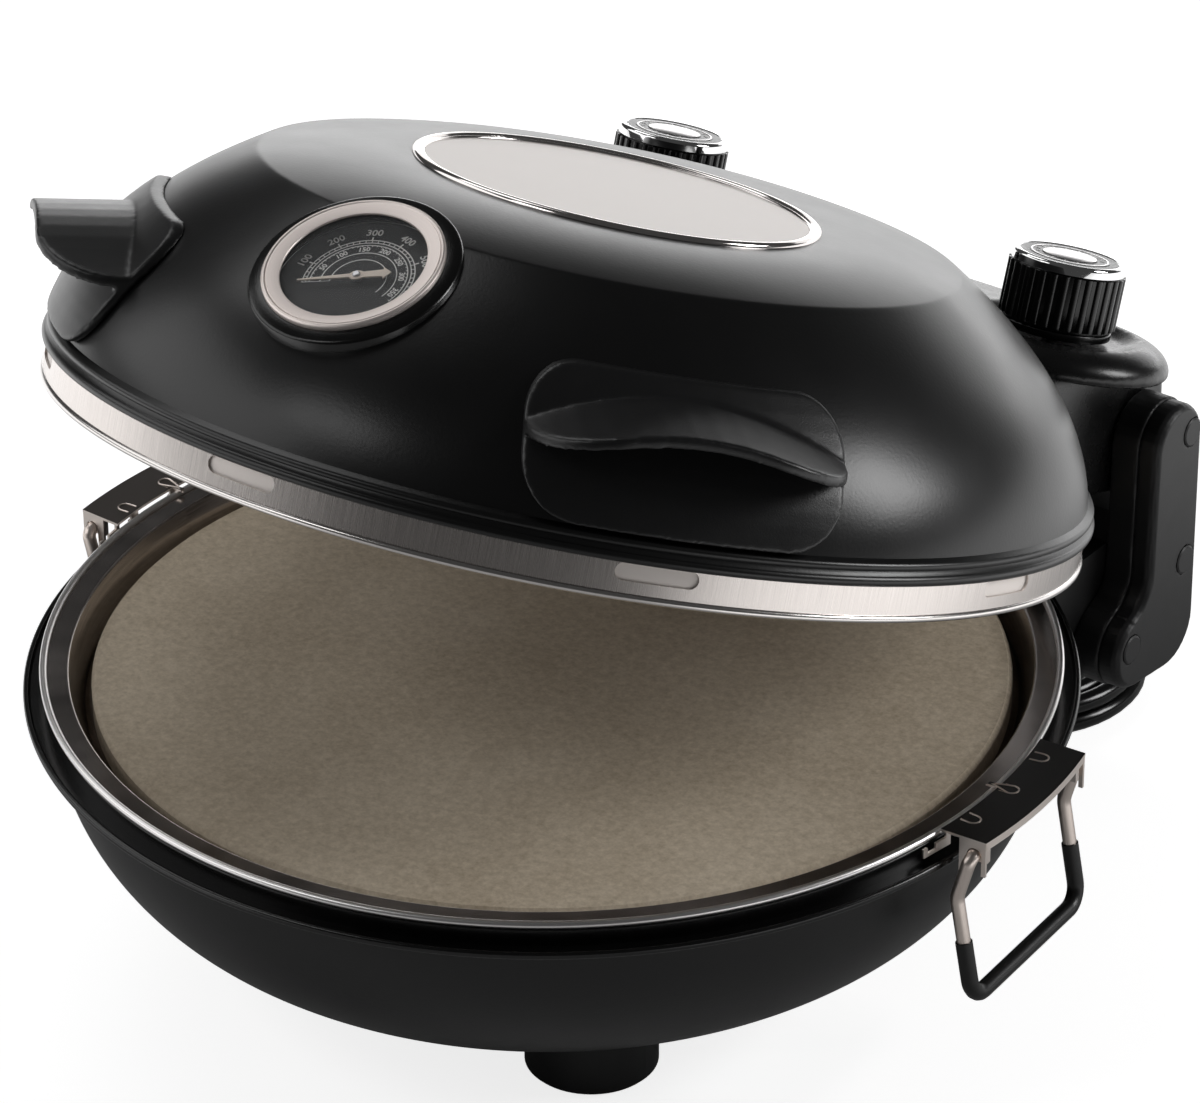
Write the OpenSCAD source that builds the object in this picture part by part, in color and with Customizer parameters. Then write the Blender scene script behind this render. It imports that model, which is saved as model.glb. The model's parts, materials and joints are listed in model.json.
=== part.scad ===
// Electric pizza maker: a round pan and baking stone in a dark bowl on four feet, under a domed
// lid with a window, a dial thermometer, two grips and a rear control housing.
// Heights marked "above the rim" are measured from the plane of the bowl's outer lip.

/* [Base] */
// Height of the outer lip's plane above the table
rim_z = 98; // [94:1:104]
// Outer radius of the black lip
lip_r = 175; // [175:0.5:176]
// Radius of the bowl's wall just under the lip
bowl_r = 166.7; // [166:0.1:167]
// Radius of the bowl's flat bottom
bowl_flat_r = 86; // [80:1:90]
// Depth of the bowl below the lip
bowl_depth = 75; // [72:1:76]
// Distance of each foot from the middle, along X and along Y
foot_xy = 64; // [58:1:68]
// Radius of a foot
foot_r = 22; // [18:1:24]

/* [Pan and stone] */
// Radius of the middle of the pan's rolled bead
bead_at_r = 168.1; // [167.9:0.1:168.3]
// Radius of the rolled bead's section
bead_r = 1.3; // [1:0.1:1.4]
// Radius of the baking stone
stone_r = 152.5; // [145:0.5:153]
// Thickness of the baking stone
stone_h = 10; // [8:1:11]

/* [Lid] */
// Angle that the lid stands open at rest
lid_open = 18.9; // [10:0.1:30]
// Height of the closed lid's lip above the rim
lid_closed_z = 10.2; // [10:0.1:11]
// Radius of the wall at the lid's foot
dome_r = 172; // [171.5:0.1:172.5]
// Radius of the crease round the lid's flatter top
crease_r = 117; // [114:0.5:120]
// Height of the crease above the lid's lip
crease_z = 81.4; // [79:0.1:83]
// Height of the lid's top plate above the lip
top_z = 88.7; // [87:0.1:90]
// Thickness of the lid's sheet
dome_wall = 1.2; // [1:0.1:1.4]
// Half width of the window's bezel, left to right
window_a = 69.6; // [66:0.1:70]
// Half width of the window's bezel, front to back
window_b = 62.8; // [60:0.1:63]

/* [Thermometer] */
// Radius of the brushed bezel
gauge_r = 28.9; // [27:0.1:29]
// Tilt of the dial from the lid's axis
gauge_tilt = 36.5; // [34:0.1:38]

/* [Grips] */
// Angle of each grip from the front
grip_az = 46.7; // [44:0.1:50]
// Width of a grip's plate
grip_w = 100; // [90:1:104]
// Farthest reach of a grip from the lid's axis
grip_reach = 185; // [178:1:186]

/* [Controls] */
// Distance of each knob from the middle
knob_x = 82.8; // [80:0.1:84]
// Distance of each knob behind the lid's axis
knob_y = 155.7; // [154:0.1:157]
// Radius of a knob over its ridges
knob_r = 20.2; // [19:0.1:20.4]
// Number of ridges round a knob
knob_ridges = 30; // [24:1:36]

/* [Hinge] */
// Distance of the hinge pin behind the base's axis
pin_y = 200; // [199:0.5:201]
// Height of the hinge pin above the rim
pin_z = 21; // [20.5:0.1:21.5]
// Radius of the hinge pin
pin_r = 4; // [3:0.5:4]
// Distance from the middle to the inner face of an arm
arm_in = 101.5; // [101.5:0.5:103]
// Distance from the middle to the outer face of an arm
arm_out = 120; // [120:0.5:122]

/* [Pan handles] */
// Turn of the left and right handles about the pan's axis, towards the back
bail_turn = [2.1, 4];
// Half length of a handle's steel bracket
bracket_half = 32; // [31:0.5:33]
// Radius of a bracket's outer edge
bracket_out = 186.2; // [185.5:0.1:187]
// Radius of the steel wire
wire_r = 2.3; // [2:0.1:2.4]
// Outer radius of the black sleeve on the wire
sleeve_r = 2.75; // [2.6:0.05:3]

/* [Cord] */
// Diameter of the cord
cord_d = 7; // [6.8:0.1:7]
// Radius of the coil's outer turn, at the middle of the cord
coil_r = 46; // [46:0.5:47]
// Distance from turn to turn, across and up
coil_pitch = 7.8; // [7.8:0.1:8]
// Turns in each of the coil's two layers
coil_turns = 2; // [2:1:2]

/* [Hidden] */

$fn = 96;
// The base's axis stands this far in front of the middle of the whole footprint
base_y = -20.5;

// Steps along the computed profiles
bowl_steps = 16;
wall_steps = 14;
oval_steps = 72;
arc_steps = 8;

// Bowl
bowl_top = -2.7;
bowl_power = 2.1;
bowl_wall = 1.2;

// Ring under the pan's rim: heights above the rim, radii from the axis
ring_in = 166.6;
ring_out = 168.4;
ring_top = 4.3;
lip_in = 172.6;
flange_z = -1.2;
skirt_in = 163.4;
skirt_out = 164.8;
skirt_z = -9;

// Pan
pan_sheet = 0.8;
pan_ring_z = 4.9;
pan_floor_z = -10;
pan_floor_r = 156;
pan_wall_r = 160.4;
bead_z = 6;
stone_gap = 0.2;
stone_edge = 1.5;

// Lid wall: radius falls from dome_r at wall_z0 to crease_r at crease_z
wall_z0 = 2;
wall_power = 2.3;
skirt_low = 10.5;
skirt_high = 19;
skirt_bead = 173.8;
skirt_neck = 172.4;
plate_flat_r = 66;
plate_fall = 0.0026;
window_y = 0.9;
bezel_w = 4.3;
lip_bead_r = 1.3;
lip_bead_at = 171.2;
band_r = 171.6;
band_wall = 0.7;
band_top = 12.5;
vent_w = 26;
vent_h = 5.6;
vent_z = 7.8;
liner_top = 52;
liner_wall = 0.6;
liner_a = 62;
liner_b = 55;
heater_r = 3.3;
upper_ring_r = 118;
upper_ring_z = 42;
lower_ring_r = 98;
lower_ring_z = -28;
terminal_x = 11;

// Thermometer, along its own axis from the bezel's top
gauge_y = -134.6;
gauge_z = 72.2;
collar_r = 33.7;
cup_r = 29.2;
dial_r = 26.8;
dial_z = -7.4;
lens_z = -3;
// The needle's angle below the level of its pin, at the cold end of the scale
needle_rest = 30;
lens_h = 1.3;

// Grips
plate_low = 19.5;
plate_high = 63;
plate_t = 3.2;
plate_corner = 17;
fin_t = 3.6;
fin_root = 57.8;
fin_arch = 11.5;
fin_half = 49;
fin_droop = 8.2;
fin_corner = 28;

// Control housing, in the lid's own heights
house_half = 100.7;
house_back = 210.5;
house_low = 0.4;
house_top = 57;
house_shelf = 46;
shelf_r = 41;
shelf_round = 14;
house_bend_y = 172;
house_bend_z = 27;
dish_r = 31;
dish_floor_r = 24;
dish_z = 53.6;
pin_lid_z = pin_z - lid_closed_z;
boss_x = 86;
house_wall = 2.5;

// Knob heights above the lid's lip
knob_low = 59;
knob_high = 77.8;
knob_face = 81.3;
ring_r = 19.45;
face_r = 16.9;
shaft_r = 3;
shaft_low = 41.5;
switch_low = 39.4;
switch_h = 10;
collar_low = 55.4;
collar_high = 58.2;
knob_collar_r = 19.2;
bore_gap = 0.05;

// Arms: the outline's arcs as [y, height above the rim, radius], from the round top down the front
arm_top = [197.3, 34, 15];
arm_neck = [168.2, -10.5, 13];
arm_toe = [176.3, -37.5, 14.8];
arm_heel = [195, -36.5, 17.3];
arm_split = 112;
// The cover's outer edge, in steps of [distance from the middle, inset]
arm_edge = [[arm_out - 2.6, 0.6], [arm_out - 1.4, 1], [arm_out - 0.6, 1.6], [arm_out, 2.4]];
cap_places = [[204.5, 36.1], [203.7, -13.7], [171, -34.5]];
cap_r = 5.2;

// Rear housing of the base
rear_low = -52;
rear_high = -3.4;
rear_back = 207;
block_front = 182.5;
block_top = 9.3;
rear_corner = 10;

// Pan handles
pivot_x = 179.2;
pivot_z = 2.5;
crank_x = 174.9;
crank_z = -13;
bar_x = 181.6;
bar_z = -49.5;
leg_y = 34.4;
stub_y = 27;
bail_bend = 7;
sleeve_from = 16;
bracket_t = 1;
bracket_z = 7.3;
bracket_in = 170;
tongue_places = [-7.2, 0, 7.2];
ear_x = 173.8;
ear_out = 183.3;
ear_low = -4.5;
slot_r = 2.6;

// Cord: height of its exit above the rim, and its route to the coil on the table
cord_r = cord_d / 2;
relief_x = -45;
relief_z = -38;
relief_end = 237;
coil_x = 39;
coil_y = 223;
coil_sides = 6;
coil_rings = 24;
run_sides = 8;
// Free stretch from the strain relief to the coil, from the base's axis and the table
cord_route = [
  [-45, 237, 60], [-45, 242, 60], [-45, 249, 58.5], [-45, 256, 54.5], [-45, 261, 49],
  [-45, 264.5, 42], [-44.5, 266, 35], [-43, 267, 28], [-40, 267.5, 21.5], [-35.5, 268, 15.5],
  [-30, 268.5, 10.5], [-23, 269, 6.5], [-15, 269, 4.2], [-6, 269, 3.5], [3, 269, 3.5],
  [12, 269, 3.5], [21, 269, 3.5], [30, 269, 3.5]
];
// Tail from the end of the coil's upper layer down to the plug
cord_tail = [
  [30, 177, 11.3], [22, 176.8, 11.3], [14, 176.5, 10.8], [7, 176.2, 9.8], [0, 176, 9.2],
  [-6, 176, 9]
];
plug_x = -6;
plug_y = 176;
plug_z = 9;

// Frames
module on_base() { translate([0, base_y, rim_z]) children(); }
module on_table() { translate([0, base_y, 0]) children(); }
module on_lid() {
  translate([0, base_y + pin_y, rim_z + pin_z])
    rotate([-lid_open, 0, 0])
      translate([0, -pin_y, lid_closed_z - pin_z])
        children();
}
module at_gauge() { on_lid() translate([0, gauge_y, gauge_z]) rotate([gauge_tilt, 0, 0]) children(); }
module at_knob(side) { on_lid() translate([side * knob_x, knob_y, 0]) children(); }
module sideways(side) { if (side < 0) mirror([1, 0, 0]) children(); else children(); }
module at_handle(side) { on_base() sideways(side) rotate([0, 0, bail_turn[side < 0 ? 0 : 1]]) children(); }

// Shapes
function ring_arc(c, r, a0, a1, n = arc_steps) =
  [for (i = [0:n]) let(a = a0 + (a1 - a0) * i / n) [c[0] + r * cos(a), c[1] + r * sin(a)]];
function oval(a, b) =
  [for (i = [0:oval_steps - 1]) let(t = 360 * i / oval_steps) [a * cos(t), b * sin(t)]];
module turned(points) { rotate_extrude() polygon(points); }
module rounded(w, h, r) {
  square([w - 2 * r, h], center = true);
  square([w, h - 2 * r], center = true);
  for (x = [-1, 1], y = [-1, 1]) translate([x * (w / 2 - r), y * (h / 2 - r)]) circle(r);
}
// Round rod between two points
module rod(p, q, r) {
  d = q - p;
  l = norm(d);
  translate(p) rotate([0, acos(d[2] / l), atan2(d[1], d[0])]) cylinder(h = l, r = r);
}
// Rod of tube section between heights, with its ends left flat
module tube(h, ro, ri) {
  difference() {
    cylinder(h = h, r = ro);
    translate([0, 0, -1]) cylinder(h = h + 2, r = ri);
  }
}

// Bowl profile from under the lip to the flat bottom, drawn in by inset
function bowl_side(inset) =
  [for (i = [0:bowl_steps]) let(t = 90 * i / bowl_steps)
    [bowl_flat_r - inset + (bowl_r - bowl_flat_r) * pow(cos(t), 2 / bowl_power),
     bowl_top - (bowl_depth - inset) * pow(sin(t), 2 / bowl_power)]];
function bowl_outline(inset) = concat([[0, bowl_top]], bowl_side(inset), [[0, bowl_top - bowl_depth + inset]]);

// Lid profile
function wall_part(z) = (z - wall_z0) / (crease_z - wall_z0);
function wall_r(z) = crease_r + (dome_r - crease_r) * (1 - pow(wall_part(z), wall_power));
function wall_lean(z) =
  (dome_r - crease_r) * wall_power * pow(wall_part(z), wall_power - 1) / (crease_z - wall_z0);
// Point of the wall at height z, moved out along the wall's normal
function wall_at(z, out) =
  let(s = wall_lean(z), n = sqrt(1 + s * s)) [wall_r(z) + out / n, z + out * s / n];
function wall_line(z0, z1, out) =
  [for (i = [0:wall_steps]) wall_at(z0 + (z1 - z0) * i / wall_steps, out)];
function plate_z(r) = top_z - plate_fall * pow(max(r - plate_flat_r, 0), 2);
function plate_line(out) =
  [for (r = [crease_r - 1.5, 108, 98, 88, 77, plate_flat_r]) [r, plate_z(r) + out]];
function skirt_line() = concat(
  ring_arc([skirt_bead - 1.9, skirt_low + 1.9], 1.9, -60, 60),
  ring_arc([skirt_neck - 1.2, skirt_low + 6.2], 1.6, -50, 60));

// Solid space under the lid's skin, for cutting what sits on it
module lid_space(out) {
  turned(concat(
    [[0, -4], [skirt_bead + 0.2 + out, -4], [skirt_bead + 0.2 + out, skirt_high]],
    wall_line(skirt_high, crease_z - 1, out), plate_line(out), [[0, top_z + out]]));
}

// Base body
module base_bowl() {
  color("#202124") on_base() difference() {
    turned(concat(bowl_side(0), [[0, bowl_top - bowl_depth], [0, bowl_top - bowl_depth + bowl_wall]],
      [for (i = [bowl_steps:-1:0]) bowl_side(bowl_wall)[i]]));
    for (x = [-1, 1]) translate([x * terminal_x, 140, lower_ring_z]) rotate([-90, 0, 0])
      cylinder(h = 40, r = heater_r + 0.4);
    translate([0, 0, bowl_top - bowl_depth - 2]) foot_places() cylinder(h = 6, r = 3);
  }
}

module base_rim() {
  color("#17181a") on_base() turned(concat(
    [[skirt_in, skirt_z], [skirt_out, skirt_z], [skirt_out, bowl_top]],
    ring_arc([lip_r - 1.1, bowl_top + 1.1], 1.1, -90, 0),
    ring_arc([lip_r - 1.1, -1.1], 1.1, 0, 150),
    [[lip_in, flange_z - 0.3], [ring_out, flange_z - 0.3], [ring_out, ring_top - 0.5],
     [ring_out - 0.5, ring_top], [ring_in, ring_top], [ring_in, flange_z], [skirt_in, flange_z]]));
}

module base_liner() {
  color("#b9bbbd") on_base() difference() {
    turned([[skirt_in, -4], [skirt_in, -4.6], [160.5, -6], [150, -40], [140, -46.6], [0, -46.6],
      [0, -46], [139.6, -46], [149.5, -39.6], [160, -5.4], [161.5, -4]]);
    for (x = [-1, 1]) translate([x * terminal_x, 140, lower_ring_z]) rotate([-90, 0, 0])
      cylinder(h = 40, r = heater_r + 0.4);
  }
}

// Open heater loop with two straight legs that turn away at its ends
module heater(loop_r, leg, tilt) {
  a = asin(terminal_x / loop_r);
  rotate([0, 0, 90 + a]) rotate_extrude(angle = 360 - 2 * a) translate([loop_r, 0]) circle(heater_r, $fn = 32);
  for (x = [-1, 1]) translate([x * terminal_x, loop_r * cos(a), 0]) {
    sphere(heater_r + 0.15, $fn = 32);
    rotate([tilt, 0, 0]) cylinder(h = leg, r = heater_r, $fn = 32);
  }
}

module lower_element() { color("#6d6a66") on_base() translate([0, 0, lower_ring_z]) heater(lower_ring_r, 74, -90); }

module element_clips() {
  color("#a7a9ab") on_base() for (a = [30, 150, 270]) rotate([0, 0, a])
    translate([lower_ring_r, 0, lower_ring_z]) {
      difference() {
        translate([-6, -4, -18]) cube([12, 8, 15.5]);
        translate([0, -5, 0]) rotate([-90, 0, 0]) cylinder(h = 10, r = heater_r + 0.02);
        translate([-4.5, -5, -17]) cube([9, 10, 11.5]);
      }
    }
}

module foot_places() { for (x = [-1, 1], y = [-1, 1]) translate([x * foot_xy, y * foot_xy, 0]) children(); }

module foot_sleeves() {
  color("#232427") on_table() difference() {
    foot_places() difference() {
      turned([[0, 3], [17, 3], [17, 0.8], [foot_r - 1, 0.8], [foot_r, 1.8], [foot_r, 40], [0, 40]]);
      translate([0, 0, 2]) cylinder(h = 30, r = 3);
    }
    translate([0, 0, rim_z]) turned(bowl_outline(0));
  }
}

module foot_pads() {
  color("#101112") on_table() foot_places() difference() {
    turned([[0, 0.6], [8, 0.6], [8, 0], [15.6, 0], [16.8, 1.2], [16.8, 3], [0, 3]]);
    translate([0, 0, -1]) cylinder(h = 5, r = 3);
  }
}

module rear_plan() {
  hull_w = 2 * arm_in;
  translate([-arm_in, 60]) square([hull_w, rear_back - rear_corner - 60]);
  translate([-arm_in + rear_corner, 60]) square([hull_w - 2 * rear_corner, rear_back - 60]);
  for (x = [-1, 1]) translate([x * (arm_in - rear_corner), rear_back - rear_corner]) circle(rear_corner);
}

module bowl_clearance() {
  turned(bowl_outline(-0.1));
  translate([0, 0, bowl_top - 1]) cylinder(h = 30, r = lip_r + 0.4);
}

module rear_housing() {
  color("#1b1c1e") on_base() difference() {
    union() {
      translate([0, 0, rear_low]) linear_extrude(rear_high - rear_low) rear_plan();
      intersection() {
        translate([0, 0, rear_high - 2]) linear_extrude(block_top - rear_high + 2) rear_plan();
        translate([-arm_in, block_front, rear_high - 2]) cube([2 * arm_in, 40, block_top - rear_high + 2]);
      }
    }
    bowl_clearance();
    translate([-arm_in + 3, 100, rear_low - 1]) cube([2 * arm_in - 6, rear_back - 103, rear_high - rear_low - 2]);
    translate([relief_x, rear_back - 8, relief_z]) rotate([-90, 0, 0]) cylinder(h = 20, r = 6);
    for (s = [-1, 1], z = [-14, 2]) translate([s * (arm_in + 1), 196, z]) rotate([0, -s * 90, 0])
      cylinder(h = 14, r = 2);
  }
}

module rear_cover() {
  color("#1d1e20") on_base() difference() {
    intersection() {
      translate([0, 0, rear_low]) linear_extrude(2) rear_plan();
      translate([-arm_in + 3.2, 60, rear_low]) cube([2 * arm_in - 6.4, rear_back - 63.2, 2]);
    }
    bowl_clearance();
    for (x = [-7:7]) translate([x * 8 - 1.5, 176, rear_low - 1]) cube([3, 20, 4]);
    for (x = [-84, 84]) translate([x, 190, rear_low - 1]) cylinder(h = 4, r = 2);
  }
}

module terminal_block() {
  color("#e6e1d6") on_base() difference() {
    translate([-20, 173.5, -36]) cube([40, 16, 16]);
    for (x = [-1, 1]) translate([x * terminal_x, 160, lower_ring_z]) rotate([-90, 0, 0])
      cylinder(h = 12.1, r = heater_r);
    for (x = [-12, 0, 12]) translate([x, 181.5, -24]) cylinder(h = 5, r = 2.4);
  }
}

// Slice of an arm between two distances from the middle, with its outline drawn in by inset
function arm_line(d) = concat(
  ring_arc(arm_top, arm_top[2] - d, 0, 180, 16), ring_arc(arm_neck, arm_neck[2] + d, 0, -73.8),
  ring_arc(arm_toe, arm_toe[2] - d, 106.2, 262, 16), ring_arc(arm_heel, arm_heel[2] - d, 265, 360));
module arm_slice(x0, x1, inset) {
  translate([x0, 0, 0]) rotate([90, 0, 90]) linear_extrude(x1 - x0) polygon(arm_line(inset));
}

module hinge_arm(side) {
  color("#1c1d1f") on_base() sideways(side) difference() {
    arm_slice(arm_in, arm_split, 0);
    translate([arm_in - 1, pin_y, pin_z]) rotate([0, 90, 0]) cylinder(h = 20, r = pin_r);
    for (z = [-14, 2]) translate([arm_in - 1, 196, z]) rotate([0, 90, 0]) cylinder(h = 20, r = 2);
  }
}
module hinge_arm_left() { hinge_arm(-1); }
module hinge_arm_right() { hinge_arm(1); }

module arm_cover(side) {
  color("#2a2b2e") on_base() sideways(side) difference() {
    for (i = [0:len(arm_edge) - 1])
      arm_slice(i == 0 ? arm_split : arm_edge[i - 1][0], arm_edge[i][0], arm_edge[i][1]);
    for (c = cap_places) translate([arm_out - 2, c[0], c[1]]) rotate([0, 90, 0]) cylinder(h = 4, r = cap_r + 0.1);
  }
}
module arm_cover_left() { arm_cover(-1); }
module arm_cover_right() { arm_cover(1); }

module arm_caps() {
  color("#26272a") on_base() for (side = [-1, 1]) sideways(side)
    for (c = cap_places) translate([arm_out - 2, c[0], c[1]]) rotate([0, 90, 0])
      turned([[0, 0], [cap_r, 0], [cap_r, 2.1], [cap_r - 0.6, 2.5], [0, 2.5]]);
}

module hinge_pins() {
  color("#c3c5c8") on_base() for (side = [-1, 1]) sideways(side)
    translate([boss_x + 2.5, pin_y, pin_z]) rotate([0, 90, 0]) cylinder(h = arm_split - boss_x - 2.5, r = pin_r);
}

module base_screws() {
  color("#9fa2a6") on_base() {
    for (s = [-1, 1], z = [-14, 2]) sideways(s) translate([arm_in - 11, 196, z]) rotate([0, 90, 0])
      cylinder(h = 21, r = 2);
    for (x = [-84, 84]) translate([x, 190, rear_low - 0.8]) {
      difference() {
        cylinder(h = 0.8, r = 3.6);
        translate([-0.5, -2.5, -0.1]) cube([1, 5, 0.6]);
        translate([-2.5, -0.5, -0.1]) cube([5, 1, 0.6]);
      }
      cylinder(h = 2.8, r = 2);
    }
  }
  color("#9fa2a6") on_table() foot_places() translate([0, 0, 1.4]) cylinder(h = 20, r = 3);
}

module strain_relief() {
  color("#131415") on_base() translate([relief_x, rear_back, relief_z]) rotate([-90, 0, 0]) difference() {
    turned([[0, -8], [8.5, -8], [8.5, -3.2], [6, -3.2], [6, 0], [8, 0], [8, 2], [6.2, 2.6], [6.0, 6],
      [5.2, 6.4], [5.1, 8], [5.9, 8.4], [5.7, 12], [4.9, 12.4], [4.8, 14], [5.5, 14.4], [5.3, 18],
      [4.6, 18.4], [4.5, 20], [5.1, 20.4], [4.9, 24], [4.3, 24.4], [4.3, 26], [4.7, 26.4], [4.4, 30],
      [0, 30]]);
    translate([0, 0, -9]) cylinder(h = 12, r = 2.6);
  }
}

// Cord: tube swept along points, with its rings square to the route and its ends flat
function unit(v) = v / norm(v);
function heading(p, i) =
  i == 0 ? unit(p[1] - p[0]) : i == len(p) - 1 ? unit(p[i] - p[i - 1]) : unit(p[i + 1] - p[i - 1]);
function upright(d) = unit(cross(d, abs(d[2]) > 0.8 ? [0, 1, 0] : [0, 0, 1]));
// Side vector of each ring, carried along so that the tube does not twist
function carry(p, i, s) = unit(s - (s * heading(p, i)) * heading(p, i));
function frames(p, i = 0, s = undef) =
  i == len(p) ? [] :
  let(n = i == 0 ? upright(heading(p, 0)) : carry(p, i, s)) concat([n], frames(p, i + 1, n));
module swept(p, r, sides) {
  f = frames(p);
  points = [for (i = [0:len(p) - 1]) let(d = heading(p, i), u = f[i], w = cross(d, u))
    for (k = [0:sides - 1]) p[i] + r * (u * cos(360 * k / sides) + w * sin(360 * k / sides))];
  last = (len(p) - 1) * sides;
  faces = concat(
    [[for (k = [sides - 1:-1:0]) k]],
    [for (i = [0:len(p) - 2], k = [0:sides - 1]) let(a = i * sides + k, b = i * sides + (k + 1) % sides)
      [a, b, b + sides]],
    [for (i = [0:len(p) - 2], k = [0:sides - 1]) let(a = i * sides + k, b = i * sides + (k + 1) % sides)
      [a, b + sides, a + sides]],
    [[for (k = [0:sides - 1]) last + k]]);
  polyhedron([for (q = points) q], [for (q = faces) [for (k = [len(q) - 1:-1:0]) q[k]]]);
}

// Coil: in along the table, up a layer over half a turn, and out again on top
coil_count = 2 * coil_turns + 0.5;
climb_dip = 1.4;
function coil_radius(t) =
  t < coil_turns ? coil_r - coil_pitch * t :
  t < coil_turns + 0.5 ? coil_r - coil_pitch * coil_turns - climb_dip * sin(360 * (t - coil_turns)) :
  coil_r - coil_pitch * (coil_count - t);
function coil_rise(t) = coil_pitch * min(1, max(0, (t - coil_turns) * 2));
function coil_point(t) =
  let(a = 90 - 360 * t)
  [coil_x + coil_radius(t) * cos(a), coil_y + coil_radius(t) * sin(a), cord_r + coil_rise(t)];
coil_n = coil_count * coil_rings;
coil_path = concat(
  [[30, 269, cord_r]], [for (i = [0:coil_n]) coil_point(i / coil_rings)],
  [[30, coil_y - coil_r, cord_r + coil_pitch]]);
// Least gap between stretches of the coil that lie at least a quarter of a turn apart
coil_gap = min([for (i = [1:coil_n + 1], j = [1:coil_n + 1])
  if (j - i > coil_rings / 4) norm(coil_path[i] - coil_path[j])]) - cord_d;
coil_length = sum_length(coil_path);
function sum_length(p, i = 1) = i >= len(p) ? 0 : norm(p[i] - p[i - 1]) + sum_length(p, i + 1);
echo(coil_gap = coil_gap, coil_length = coil_length,
  cord_length = coil_length + sum_length(cord_route) + sum_length(cord_tail));

module cord_run() {
  color("#0c0c0d") on_table() {
    swept(cord_route, cord_r, run_sides);
    swept(cord_tail, cord_r, run_sides);
  }
}

module cord_coil() {
  color("#0c0c0d") on_table() difference() {
    swept(coil_path, cord_r, coil_sides);
    translate([coil_x - 80, coil_y - 80, -10]) cube([160, 160, 10 + cord_r * 0.12]);
  }
}

module plug_body() {
  color("#141516") on_table() translate([plug_x, plug_y, plug_z]) rotate([0, -90, 0]) difference() {
    union() {
      turned([[0, 0], [4.4, 0], [4.8, 10], [6, 14], [6, 18], [0, 18]]);
      translate([0, 0, 14]) linear_extrude(26) rounded(17, 26, 7);
      translate([0, 0, 38]) linear_extrude(3) rounded(18, 30, 8);
    }
    for (y = [-9.5, 9.5]) translate([0, y, 30]) cylinder(h = 20, r = 2.4);
  }
}

module plug_pins() {
  color("#c9a95c") on_table() translate([plug_x, plug_y, plug_z]) rotate([0, -90, 0])
    for (y = [-9.5, 9.5]) translate([0, y, 30]) turned([[0, 0], [2.4, 0], [2.4, 28.6], [1.6, 30], [0, 30]]);
}

// Pan and stone
module pan() {
  color("#c9cacb") on_base() {
    turned([[0, pan_floor_z], [pan_floor_r, pan_floor_z], [pan_wall_r, pan_ring_z], [bead_at_r, pan_ring_z],
      [bead_at_r, pan_ring_z + pan_sheet], [pan_wall_r - 0.7, pan_ring_z + pan_sheet],
      [pan_floor_r - 0.7, pan_floor_z + pan_sheet], [0, pan_floor_z + pan_sheet]]);
    rotate_extrude() translate([bead_at_r, bead_z]) circle(bead_r, $fn = 32);
  }
}

module baking_stone() {
  color("#cdb68f") on_base() translate([0, 0, pan_floor_z + pan_sheet + stone_gap])
    turned([[0, 0], [stone_r - stone_edge, 0], [stone_r, stone_edge], [stone_r, stone_h - stone_edge],
      [stone_r - stone_edge, stone_h], [0, stone_h]]);
}

// Steel bracket of a pan handle: plate, two slotted ears with lugs behind them, and hooks under the bead
module pan_bracket(side) {
  flange = asin((bracket_half - 0.5) / bracket_out);
  at_handle(side) {
    translate([0, 0, bracket_z]) linear_extrude(bracket_t) difference() {
      intersection() {
        circle(bracket_out, $fn = 180);
        translate([150, -bracket_half]) square([60, 2 * bracket_half]);
      }
      circle(bracket_in, $fn = 180);
      for (a = tongue_places) rotate(a) tongue();
    }
    for (e = [-1, 1]) {
      ear(e);
      keeper(e);
    }
    rotate([0, 0, -flange]) rotate_extrude(angle = 2 * flange)
      translate([bracket_out - bracket_t, bracket_z - 1.8]) square([bracket_t - 0.02, 1.9]);
    for (a = tongue_places) rotate([0, 0, a]) hook();
    // Clip over the bead, and a tab in front of the plate with a notch in it
    translate([bead_at_r - 2, -0.8, bracket_z]) cube([4.5, 1.6, bracket_t]);
    rotate([0, 0, -12]) translate([171, 0, 0]) rotate([90, 0, 90]) linear_extrude(0.8)
      polygon([[-6.3, 2.2], [6.3, 2.2], [6.3, bracket_z + 0.1], [4.2, bracket_z + 0.1], [4.2, 5.4],
        [-0.6, 5.4], [-0.6, 3.4], [-4.4, 3.4], [-4.4, 5.4], [-6.3, 5.4]]);
  }
}
// Slot round a tongue that is pressed out of the plate
module tongue() {
  polygon(concat([[bracket_in + 1, -2.6]], ring_arc([174.4, 0], 2.6, -90, 90, 12),
    [[bracket_in + 1, 2.6], [bracket_in + 1, 2.1]], ring_arc([174.4, 0], 2.1, 90, -90, 12),
    [[bracket_in + 1, -2.1]]));
}
module ear(e) {
  translate([0, e > 0 ? bracket_half : 1 - bracket_half, 0]) rotate([90, 0, 0]) linear_extrude(1) difference() {
    translate([ear_x, ear_low]) square([ear_out - ear_x, bracket_z + 0.1 - ear_low]);
    translate([pivot_x, pivot_z]) circle(slot_r, $fn = 48);
    translate([pivot_x - slot_r, ear_low - 1]) square([2 * slot_r, pivot_z - ear_low + 1]);
  }
}
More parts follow.
